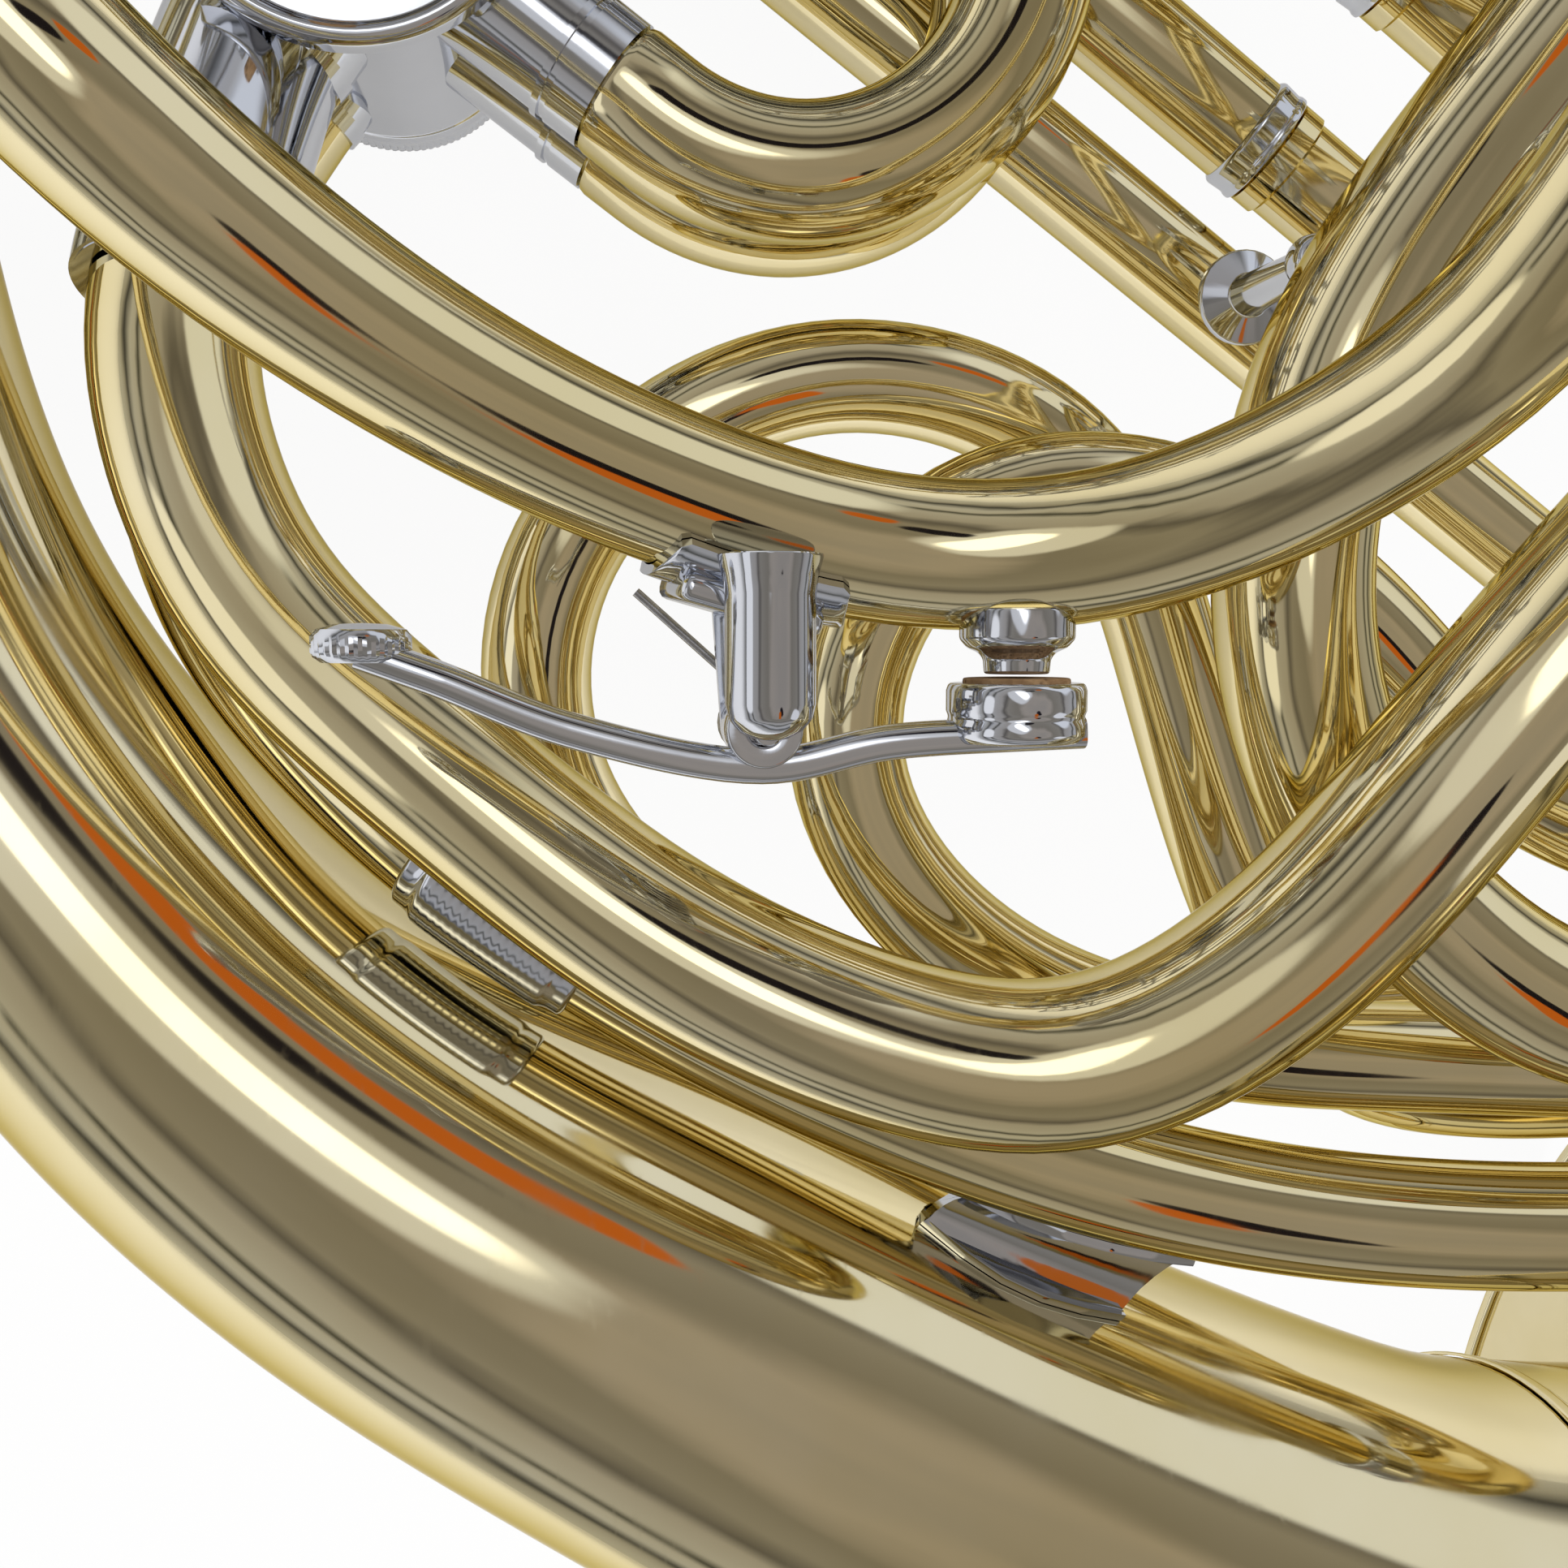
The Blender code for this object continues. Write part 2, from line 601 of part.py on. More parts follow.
LOOP_LINE = run(
    [
        polar(0.0, DOWN_THE_ROW, PORT_REACH, LOWER_BRANCH_PORT),
        polar(0.0, DOWN_THE_ROW, PORT_REACH + 0.004, LOWER_BRANCH_PORT),
        (-0.1270, -0.010, -0.0095), (-0.1300, -0.030, -0.006), (-0.1225, -0.053, 0.003), (-0.106, -0.072, 0.010),
        (-0.091, -0.084, 0.014), (-0.062, -0.1015, 0.0175), (-0.029, -0.115, 0.020), (0.000, -0.1225, 0.020),
        (0.034, -0.126, 0.020), (0.062, -0.126, 0.019), (0.078, -0.1255, 0.013), (0.083, -0.124, 0.003),
        (0.079, -0.1215, -0.006), (0.064, -0.119, -0.0095), (0.038, -0.1165, -0.004),
        (0.014, -0.110, 0.001), (0.001, -0.0925, 0.004), (-0.0065, -0.073, 0.004), (-0.0115, -0.057, 0.004),
        (-0.0175, -0.041, 0.004), (-0.0300, -0.0290, 0.004), (-0.0530, -0.0243, 0.004), (-0.0740, -0.0325, 0.004),
        (-0.0855, -0.046, 0.003), (-0.0885, -0.064, 0.000), (-0.080, -0.084, -0.006), (-0.055, -0.101, -0.011),
        (-0.020, -0.108, -0.0155), (0.030, -0.106, -0.0225), (0.070, -0.105, -0.020), (0.098, -0.105, -0.012),
        (0.107, -0.106, -0.001), (0.102, -0.108, 0.010), (0.088, -0.109, 0.0165), (0.055, -0.1075, 0.0180),
        (0.020, -0.1055, 0.0175), (-0.012, -0.1025, 0.017), (-0.0358, -0.0936, 0.018), (-0.0505, -0.079, 0.018),
        (-0.0545, -0.0635, 0.018), (-0.0450, -0.0442, 0.018), (-0.0275, -0.0385, 0.018), (-0.008, -0.0430, 0.018),
        (0.010, -0.0560, 0.0165), (0.028, -0.0720, 0.012), (0.052, -0.0820, 0.008), (0.078, -0.0850, 0.010),
        (0.091, -0.0862, 0.0225), (0.078, -0.0890, 0.0355), (0.050, -0.0960, 0.037), (0.0235, -0.0960, 0.036),
        (0.001, -0.0800, 0.035), (-0.0095, -0.0610, 0.036), (-0.0105, -0.0420, 0.036), (-0.0055, -0.0250, 0.036),
        (0.0130, 0.0010, 0.036), (0.032, 0.0220, 0.034), (0.057, 0.0360, 0.026), (0.083, 0.0320, 0.013),
        (0.101, 0.0110, 0.002), (0.107, -0.0180, -0.008), (0.1085, -0.042, -0.0145), (0.108, -0.057, -0.0165),
        (0.1033, -0.0673, -0.0170), (0.092, -0.0720, -0.0170), (0.0826, -0.0689, -0.0170),
        at(0.185, FEED_ROW, LOWER_PORT), at(0.160, FEED_ROW, LOWER_PORT), at(0.090, FEED_ROW, LOWER_PORT),
        at(0.020, FEED_ROW, LOWER_PORT), at(0.013, FEED_ROW + 0.0004, LOWER_PORT),
        at(0.0041, FEED_ROW + 0.0041, LOWER_PORT), at(0.0004, FEED_ROW + 0.013, LOWER_PORT),
        polar(VALVE_ROWS[2], DOWN_THE_ROW, PORT_REACH + 0.008, LOWER_PORT),
        polar(VALVE_ROWS[2], DOWN_THE_ROW, PORT_REACH, LOWER_PORT),
    ],
    [LOWER_BRANCH_RADIUS] * 14 + [LOOP_RADIUS] * 35 + [0.0067, 0.0072, 0.0078] + [SIDE_BOW_RADIUS] * 7
    + [0.0078, 0.0075, 0.0072, 0.0070, 0.0067] + [LOOP_RADIUS] * 12,
)
LOWER_BRANCH, ARCH_LOOP, RING_LOOP, SIDE_BOW, SLIDE_FEED = split(
    LOOP_LINE,
    [(0.083, -0.124, 0.001), (0.107, -0.106, 0.000), (0.064, -0.0925, 0.0363), (0.108, -0.050, -0.0155)],
)


def build_bell():
    """Tail, and flare with the bead rolled at its rim."""
    wall = tube(collar(BELL_TAIL, (0.100, 0.154, 0.003), 0.010), TAIL_SIDES)
    hollow = [(point, radius - BELL_WALL * 1.2) for point, radius in stretch(BELL_TAIL, TAIL_SOLID_LENGTH, 9.0)]
    end, end_radius = BELL_TAIL[-1]
    hollow.append((end + FLARE_AXIS * 0.004, end_radius - BELL_WALL * 1.2))
    node("bell_tail", BRASS, cut(wall, tube(hollow, TAIL_SIDES)))

    edge = BELL_MOUTH_RADIUS - RIM_WIRE_RADIUS
    growth = (edge / BELL_THROAT_RADIUS) ** 2.0
    beyond = BELL_FLARE_LENGTH / (growth - 1.0)
    scale = edge * math.sqrt(beyond)

    def flare_radius(depth):
        return scale / math.sqrt(BELL_FLARE_LENGTH + beyond - depth)

    outer = []
    for ring in range(FLARE_RINGS + 1):
        share = 1.0 - (1.0 - ring / FLARE_RINGS) ** 2.2
        depth = BELL_FLARE_LENGTH * share
        outer.append((flare_radius(depth), depth))
    inner = []
    for radius, depth in outer:
        slope = radius ** 3.0 / (2.0 * scale ** 2.0)
        lean = math.atan(slope)
        inner.append((radius - BELL_WALL * math.cos(lean), depth + BELL_WALL * math.sin(lean)))
    profile = list(reversed(outer)) + inner
    flare = turned(profile, FLARE_START, FLARE_AXIS, BELL_SIDES, closed=True)
    ring = []
    for corner in range(6):
        angle = math.tau * corner / 6.0
        radius = BELL_MOUTH_RADIUS - RIM_WIRE_RADIUS + RIM_WIRE_RADIUS * math.cos(angle)
        ring.append((radius, BELL_FLARE_LENGTH + RIM_WIRE_RADIUS * math.sin(angle)))
    rim = turned(ring, FLARE_START, FLARE_AXIS, BELL_SIDES, closed=True)
    node("bell_flare", BRASS, fuse(flare, rim))


def build_mouth_end():
    """Receiver with the mouthpiece in it."""
    start = LEADPIPE[0][0]
    way = (LEADPIPE[0][0] - LEADPIPE[1][0]).normalized()
    length = 0.048
    socket = around(0.0042 + GAP, TUBE_SIDES)
    back = around(LEADPIPE_TIP_RADIUS + GAP, TUBE_SIDES)
    lap = 0.012
    body = turned(
        [
            (0.0, 0.0), (back + 0.0007, 0.0), (back + 0.0010, length * 0.5), (socket + 0.0012, length * 0.92),
            (socket + 0.0022, length * 0.94), (socket + 0.0022, length), (0.0, length),
        ],
        start - way * lap, way, 16,
    )
    mouth = start + way * (length - lap)
    receiver = cut(
        body,
        cylinder(start - way * (lap + 0.001), start + way * GAP, back, TUBE_SIDES),
        cylinder(mouth - way * 0.022, mouth + way * 0.001, socket, TUBE_SIDES),
        cylinder(start - way * 0.001, mouth, 0.0022, ROD_SIDES),
    )
    node("mouthpiece_receiver", NICKEL, receiver)

    shank = mouth - way * 0.020
    cup = [
        (0.0018, 0.0), (0.0038, 0.0), (0.0042, 0.022), (0.0048, 0.034), (0.0060, 0.044), (0.0085, 0.052),
        (0.0105, 0.060), (0.0112, 0.066), (0.0127, 0.069), (0.0127, 0.0715), (0.0115, 0.0725), (0.0092, 0.0722),
        (0.0086, 0.0700), (0.0070, 0.0560), (0.0035, 0.0440), (0.0018, 0.0400),
    ]
    node("mouthpiece", NICKEL, turned(cup, shank, way, 14, closed=True), pivot=mouth)


def nipple_foot():
    """Where the water key's nipple leaves the leadpipe."""
    pipe, radius, _ = nearest(LEADPIPE, Vector((KEY_CUP.x, KEY_CUP.y + 0.012, KEY_CUP.z)))
    return Vector((KEY_CUP.x, pipe.y - radius - HOVER_GAP, KEY_CUP.z))


def build_long_tubes():
    """The tubes that are wound inside the horn, with the rings and struts that are soldered to them."""
    down = Vector((0.0, -1.0, 0.0))
    nipple = turned(
        [
            (0.0, -SOLDER_DEPTH), (0.0042, -SOLDER_DEPTH), (0.0042, 0.0008), (0.0028, 0.0018),
            (0.0026, NIPPLE_RISE), (0.0, NIPPLE_RISE),
        ],
        nipple_foot(), down, TUBE_SIDES,
    )
    node("leadpipe", BRASS, fuse(
        tube(collar(LEADPIPE, (-0.110, 0.183, 0.025), 0.014)),
        nipple,
        brace(LEADPIPE, (-0.166, 0.046, 0.039), BELL_TAIL, -SOLDER_DEPTH),
    ))
    node("branch_tube", BRASS, tube(collar(BRANCH, (0.045, -0.010, 0.058), 0.012)))
    node("lower_branch", BRASS, tube(collar(LOWER_BRANCH, (0.050, -0.126, 0.020), 0.012)))
    node("arch_loop", BRASS, tube(ARCH_LOOP))
    node("ring_loop", BRASS, tube(RING_LOOP))
    node("side_bow", BRASS, fuse(
        tube(collar(SIDE_BOW, (0.020, 0.009, 0.036), 0.010)),
        brace(SIDE_BOW, (0.004, -0.0116, 0.036), SLIDE_FEED, -SOLDER_DEPTH, 0.0022, 0.0060),
    ))
    node("slide_feed_tube", BRASS, tube(collar(SLIDE_FEED, at(0.129, FEED_ROW, LOWER_PORT), 0.012)))
    node("branch_sleeve", NICKEL, tube([(point, BRANCH_SLEEVE_RADIUS) for point, _ in BRANCH_SLEEVE]))


def port_stub(row, angle, w, radius):
    """A short round boss on a casing, where a tube is joined to it."""
    return cylinder(
        polar(row, angle, CASING_RADIUS * 0.6, w), polar(row, angle, STUB_REACH, w), radius + PORT_RIM, TUBE_SIDES
    )


def link_ports(index):
    """The heights of a valve's two layers of passages."""
    return (UPPER_PORT, CHANGE_LOWER_PORT if index == 3 else LOWER_PORT)


def valve_ports(index):
    """The ports of one valve: angle, height and tube radius."""
    half = math.radians(45.0)
    ports = []
    if index < 3:
        ports.append((half, UPPER_PORT, SLIDE_SLEEVE_RADIUS))
        ports.append((-half, UPPER_PORT, SLIDE_SLEEVE_RADIUS))
        ports.append((0.0, LOWER_PORT, SLIDE_SLEEVE_RADIUS))
        ports.append((-half, LOWER_PORT, SLIDE_SLEEVE_RADIUS))
        for w in (UPPER_PORT, LOWER_PORT):
            ports.append((-3.0 * half, w, LINK_RADIUS))
    if index > 0:
        for w in link_ports(index):
            ports.append((3.0 * half, w, LINK_RADIUS))
    if index == 0:
        ports.append((0.0, UPPER_PORT, VALVE_INLET_RADIUS))
    if index == 2:
        ports.append((-2.0 * half, LOWER_PORT, LOOP_RADIUS))
    if index == 3:
        ports.append((-2.0 * half, BRANCH_PORT, BRANCH_SLEEVE_RADIUS))
        ports.append((-2.0 * half, LOWER_BRANCH_PORT, LOWER_BRANCH_RADIUS))
    return ports


def build_valves():
    """Casings with their bumpers, and caps, rotors and stop arms."""
    bore = CASING_RADIUS - CASING_WALL
    rotor_radius = bore * math.cos(math.pi / CASING_SIDES) - RUNNING_GAP
    shaft_bore = around(SHAFT_RADIUS + RUNNING_GAP, TUBE_SIDES)
    for index, row in enumerate(VALVE_ROWS):
        bottom = CHANGE_CASING_LOW if index == 3 else CASING_LOW
        plate = CHANGE_PLATE_RADIUS if index == 3 else PLATE_RADIUS
        knob = CHANGE_CAP_RADIUS if index == 3 else CAP_RADIUS
        low = at(0.0, row, bottom)
        high = at(0.0, row, CASING_TOP)
        height = CASING_TOP - bottom
        shell = turned(
            [
                (0.0, 0.0), (CASING_RADIUS, 0.0), (CASING_RADIUS, height - PLATE_LAP),
                (plate, height - PLATE_LAP), (plate, height + PLATE_RISE),
                (plate - 0.0018, height + PLATE_RISE), (plate - 0.0026, height + PLATE_RISE * 0.55),
                (0.0, height + PLATE_RISE * 0.55),
            ],
            low, UP, CASING_SIDES,
        )
        solids = [port_stub(row, *port) for port in valve_ports(index)]
        tab_angle = math.radians(-90.0)
        for angle in (tab_angle + CORK_ANGLE, tab_angle - math.radians(90.0) - CORK_ANGLE):
            solids.append(cylinder(
                polar(row, angle, CORK_RING, CASING_TOP + PLATE_RISE * 0.25),
                polar(row, angle, CORK_RING, STOP_PLATE_LOW + STOP_PLATE_THICK + 0.0004),
                CORK_RADIUS, ROD_SIDES,
            ))
        cutters = [
            cylinder(low - UP * 0.001, high, bore, CASING_SIDES),
            cylinder(high - UP * 0.004, high + UP * 0.006, shaft_bore, TUBE_SIDES),
        ]
        if index == 3:
            for path in crook_sleeves():
                solids.append(tube(sleeve_path(path, CROOK_SLEEVE_RADIUS, CROOK_RING_RADIUS)))
                cutters.append(sleeve_bore(path, around(CROOK_LEG_RADIUS + GAP, TUBE_SIDES), CROOK_DEPTH))
        node(f"valve_casing_{index + 1}", NICKEL, cut(fuse(shell, *solids), *cutters))

        node(f"valve_cap_{index + 1}", NICKEL, turned(
            [
                (0.0, 0.0), (knob, 0.0), (knob, CAP_DEPTH * 0.7), (knob - 0.0012, CAP_DEPTH),
                (0.0, CAP_DEPTH),
            ],
            low - UP * GAP, -UP, CASING_SIDES,
        ))

        rotor = fuse(
            cylinder(low + UP * ROTOR_PLAY, high - UP * ROTOR_PLAY, rotor_radius, CASING_SIDES),
            cylinder(at(0.0, row, 0.0), at(0.0, row, STOP_PLATE_LOW + STOP_PLATE_THICK + 0.0006), SHAFT_RADIUS,
                     TUBE_SIDES),
        )
        passages = []
        for w in link_ports(index):
            for side in (-1.0, 1.0):
                passages.append(cylinder(
                    at(-0.02, row + side * PASSAGE_OFFSET, w), at(0.02, row + side * PASSAGE_OFFSET, w),
                    PASSAGE_RADIUS, BORE_SIDES,
                ))
        axis_foot = at(0.0, row, 0.0)
        node(f"rotor_{index + 1}", BRASS, cut(rotor, *passages), pivot=axis_foot)

        low_face = at(0.0, row, STOP_PLATE_LOW)
        top_face = low_face + UP * STOP_PLATE_THICK
        post_angle = math.radians(135.0)
        post = polar(row, post_angle, STOP_RADIUS, STOP_PLATE_LOW)
        post_top = polar(row, post_angle, STOP_RADIUS, STOP_POST_TOP)
        tab_way = SLIDE * math.cos(tab_angle) + ROW * math.sin(tab_angle)
        tab_middle = low_face + UP * STOP_PLATE_THICK / 2.0 + tab_way * STOP_TAB_REACH / 2.0
        arm = fuse(
            cylinder(low_face, top_face, STOP_PLATE_RADIUS, 12),
            block(tab_middle, tab_way, UP, (STOP_TAB_REACH, STOP_PLATE_THICK, 0.0030)),
            cylinder(post, post_top, 0.0015),
        )
        arm = cut(arm, cylinder(low_face - UP * 0.001, top_face + UP * 0.001,
                                around(SHAFT_RADIUS + GAP, TUBE_SIDES), TUBE_SIDES))
        node(f"stop_arm_{index + 1}", NICKEL, arm, pivot=axis_foot)


def link_middle(spacing):
    """How far behind the valve row the middle of a link tube lies."""
    if spacing > 2.0 * LINK_REACH + GAP:
        return -LINK_REACH
    return LINK_BEND * (math.sqrt(2.0) - 1.0) - spacing / 2.0


def build_links():
    """Tubes that join one valve to the next, in two layers held together by a stay."""
    for index, (upper, lower) in enumerate(zip(VALVE_ROWS, VALVE_ROWS[1:])):
        pair = []
        for w, far_w in zip(link_ports(index), link_ports(index + 1)):
            route = [polar(lower, math.radians(135.0), PORT_REACH, far_w)]
            reach = min((upper - lower) / 2.0, LINK_REACH)
            route.append(at(-reach, lower + reach, far_w))
            if upper - lower > 2.0 * reach + GAP:
                route.append(at(-reach, upper - reach, w))
            route.append(polar(upper, math.radians(-135.0), PORT_REACH, w))
            pair.append(tube(bent(route, LINK_BEND, LINK_RADIUS)))
        middle = (upper + lower) / 2.0
        foot = link_middle(upper - lower)
        stay = cylinder(at(foot, middle, LOWER_PORT), at(foot, middle, UPPER_PORT), STAY_RADIUS)
        node(f"valve_links_{index + 1}", BRASS, fuse(*pair, stay))


def sleeve_path(stops, radius, ring_radius):
    """A slide's outer tube with a ring at its open end."""
    open_end = stops[-1][0]
    path = stops[:-1]
    path.append((open_end - SLIDE * SLEEVE_RING_LENGTH, radius))
    path.append((open_end - SLIDE * (SLEEVE_RING_LENGTH - 0.0002), ring_radius))
    path.append((open_end, ring_radius))
    return path


def sleeve_bore(stops, bore, depth):
    """The bore that a slide's inner leg runs in."""
    open_end = stops[-1][0]
    return cylinder(open_end - SLIDE * depth, open_end + SLIDE * 0.001, bore, TUBE_SIDES)


def held_sleeves(paths, depths, bore, stay):
    """Outer tubes of slides, held together by a stay and bored for the inner legs."""
    tubes = [tube(path) for path in paths]
    return cut(fuse(*tubes, stay), *[sleeve_bore(path, bore, depth) for path, depth in zip(paths, depths)])


def bow(low_row, high_row, w, open_end, tangent, depth, leg_radius, bow_radius):
    """The inner part of a slide: two legs and the bow that joins them."""
    middle = (low_row + high_row) / 2.0
    turn_radius = (high_row - low_row) / 2.0
    inner = open_end - depth + 0.0015
    shoulder = open_end + GAP
    stops = [(at(inner, low_row, w), leg_radius), (at(shoulder, low_row, w), leg_radius)]
    stops.append((at(shoulder + 0.0002, low_row, w), bow_radius))
    for step in range(BOW_STEPS + 1):
        angle = -math.pi / 2.0 + math.pi * step / BOW_STEPS
        stops.append((
            at(tangent + turn_radius * math.cos(angle), middle + turn_radius * math.sin(angle), w), bow_radius
        ))
    stops.append((at(shoulder + 0.0002, high_row, w), bow_radius))
    stops.append((at(shoulder, high_row, w), leg_radius))
    stops.append((at(inner, high_row, w), leg_radius))
    return tube(stops)


def build_valve_slides():
    """The F slides in the lower layer and the B flat slides in the upper layer."""
    leg_bore = around(SLIDE_LEG_RADIUS + GAP, TUBE_SIDES)
    low_paths = []
    low_depths = []
    high_paths = []
    high_depths = []
    for index in range(3):
        row = VALVE_ROWS[index]
        low_row = row - F_SLIDE_SPAN
        w = LOWER_PORT
        reach = F_OPEN[index]
        depth = F_DEPTH[index]
        upper_leg = [(polar(row, 0.0, PORT_REACH, w), SLIDE_SLEEVE_RADIUS), (at(reach, row, w), SLIDE_SLEEVE_RADIUS)]
        lower_leg = bent(
            [polar(row, math.radians(-45.0), PORT_REACH, w), at(F_SLIDE_SPAN, low_row, w), at(reach, low_row, w)],
            PORT_BEND, SLIDE_SLEEVE_RADIUS,
        )
        low_paths += [upper_leg, lower_leg]
        low_depths += [depth, depth]
        inner = bow(low_row, row, w, reach, F_TANGENT[index], depth, SLIDE_LEG_RADIUS, SLIDE_BOW_RADIUS)
        node(f"f_slide_{index + 1}", BRASS, inner, pivot=at(reach, row - F_SLIDE_SPAN / 2.0, w))

        w = UPPER_PORT
        reach = B_OPEN[index]
        depth = B_DEPTH[index]
        for side in (-1.0, 1.0):
            leg_row = row + side * SLIDE_HALF_SPAN
            leg = bent(
                [polar(row, side * math.radians(45.0), PORT_REACH, w), at(SLIDE_HALF_SPAN, leg_row, w),
                 at(reach, leg_row, w)],
                PORT_BEND, SLIDE_SLEEVE_RADIUS,
            )
            high_paths.append(leg)
            high_depths.append(depth)
        inner = bow(row - SLIDE_HALF_SPAN, row + SLIDE_HALF_SPAN, w, reach, B_TANGENT[index], depth,
                    SLIDE_LEG_RADIUS, SLIDE_BOW_RADIUS)
        node(f"b_flat_slide_{index + 1}", BRASS, inner, pivot=at(reach, row, w))
    top_row = VALVE_ROWS[0]
    last_row = VALVE_ROWS[2]
    low_stay = cylinder(at(F_STAY, last_row - F_SLIDE_SPAN, LOWER_PORT), at(F_STAY, top_row, LOWER_PORT), STAY_RADIUS)
    high_stay = cylinder(
        at(B_STAY, last_row - SLIDE_HALF_SPAN, UPPER_PORT), at(B_STAY, top_row + SLIDE_HALF_SPAN, UPPER_PORT),
        STAY_RADIUS,
    )
    node("f_slide_sleeves", BRASS, held_sleeves(low_paths, low_depths, leg_bore, low_stay))
    node("b_flat_slide_sleeves", BRASS, held_sleeves(high_paths, high_depths, leg_bore, high_stay))


def build_main_slide():
    """The main tuning slide between the leadpipe and the first valve."""
    row = VALVE_ROWS[0]
    w = MAIN_LAYER
    leg_bore = around(SLIDE_LEG_RADIUS + GAP, TUBE_SIDES)
    first = [
        (at(MAIN_START, MAIN_LEG_ROW, w), SLIDE_SLEEVE_RADIUS), (at(MAIN_OPEN, MAIN_LEG_ROW, w), SLIDE_SLEEVE_RADIUS),
    ]
    second = bent(
        [polar(row, 0.0, PORT_REACH, UPPER_PORT), at(0.0265, row, UPPER_PORT), at(0.0420, row, w),
         at(MAIN_OPEN, row, w)],
        INLET_BEND, VALVE_INLET_RADIUS,
    )
    second.insert(-1, (at(0.0492, row, w), VALVE_INLET_RADIUS))
    second.insert(-1, (at(0.0496, row, w), SLIDE_SLEEVE_RADIUS))
    paths = [sleeve_path(leg, SLIDE_SLEEVE_RADIUS, SLEEVE_RING_RADIUS) for leg in (first, second)]
    stay = cylinder(at(MAIN_STAY, row, w), at(MAIN_STAY, MAIN_LEG_ROW, w), STAY_RADIUS)
    node("main_slide_sleeves", BRASS, held_sleeves(paths, [MAIN_DEPTH] * 2, leg_bore, stay))
    inner = bow(row, MAIN_LEG_ROW, w, MAIN_OPEN, MAIN_TANGENT, MAIN_DEPTH, SLIDE_LEG_RADIUS, SLIDE_BOW_RADIUS)
    node("main_tuning_slide", BRASS, inner, pivot=at(MAIN_OPEN, row + MAIN_SPAN / 2.0, w))


def crook_sleeves():
    """The change valve's four sleeves, as runs that start inside its casing wall."""
    legs = []
    for w in CROOK_LAYERS:
        legs.append([
            (polar(0.0, 0.0, SUNK_REACH, w), CROOK_SLEEVE_RADIUS),
            (at(CROOK_OPEN, CROOK_LOWER_ROW, w), CROOK_SLEEVE_RADIUS),
        ])
        corner = polar(0.0, CROOK_UPPER_ANGLE, CROOK_UPPER_CORNER, w)
        side = CROOK_UPPER_CORNER * math.cos(CROOK_UPPER_ANGLE)
        legs.append(bent(
            [polar(0.0, CROOK_UPPER_ANGLE, SUNK_REACH, w), corner, at(side, CROOK_UPPER_ROW, w),
             at(CROOK_OPEN, CROOK_UPPER_ROW, w)],
            CROOK_BEND, CROOK_SLEEVE_RADIUS,
        ))
    return legs


def build_change_crooks():
    """The two crooks that pull out of the change valve, one above the other."""
    for name, w in zip(("change_crook_near", "change_crook_far"), CROOK_LAYERS):
        inner = bow(CROOK_LOWER_ROW, CROOK_UPPER_ROW, w, CROOK_OPEN, CROOK_TANGENT, CROOK_DEPTH,
                    CROOK_LEG_RADIUS, CROOK_BOW_RADIUS)
        node(name, BRASS, inner, pivot=at(CROOK_OPEN, (CROOK_LOWER_ROW + CROOK_UPPER_ROW) / 2.0, w))


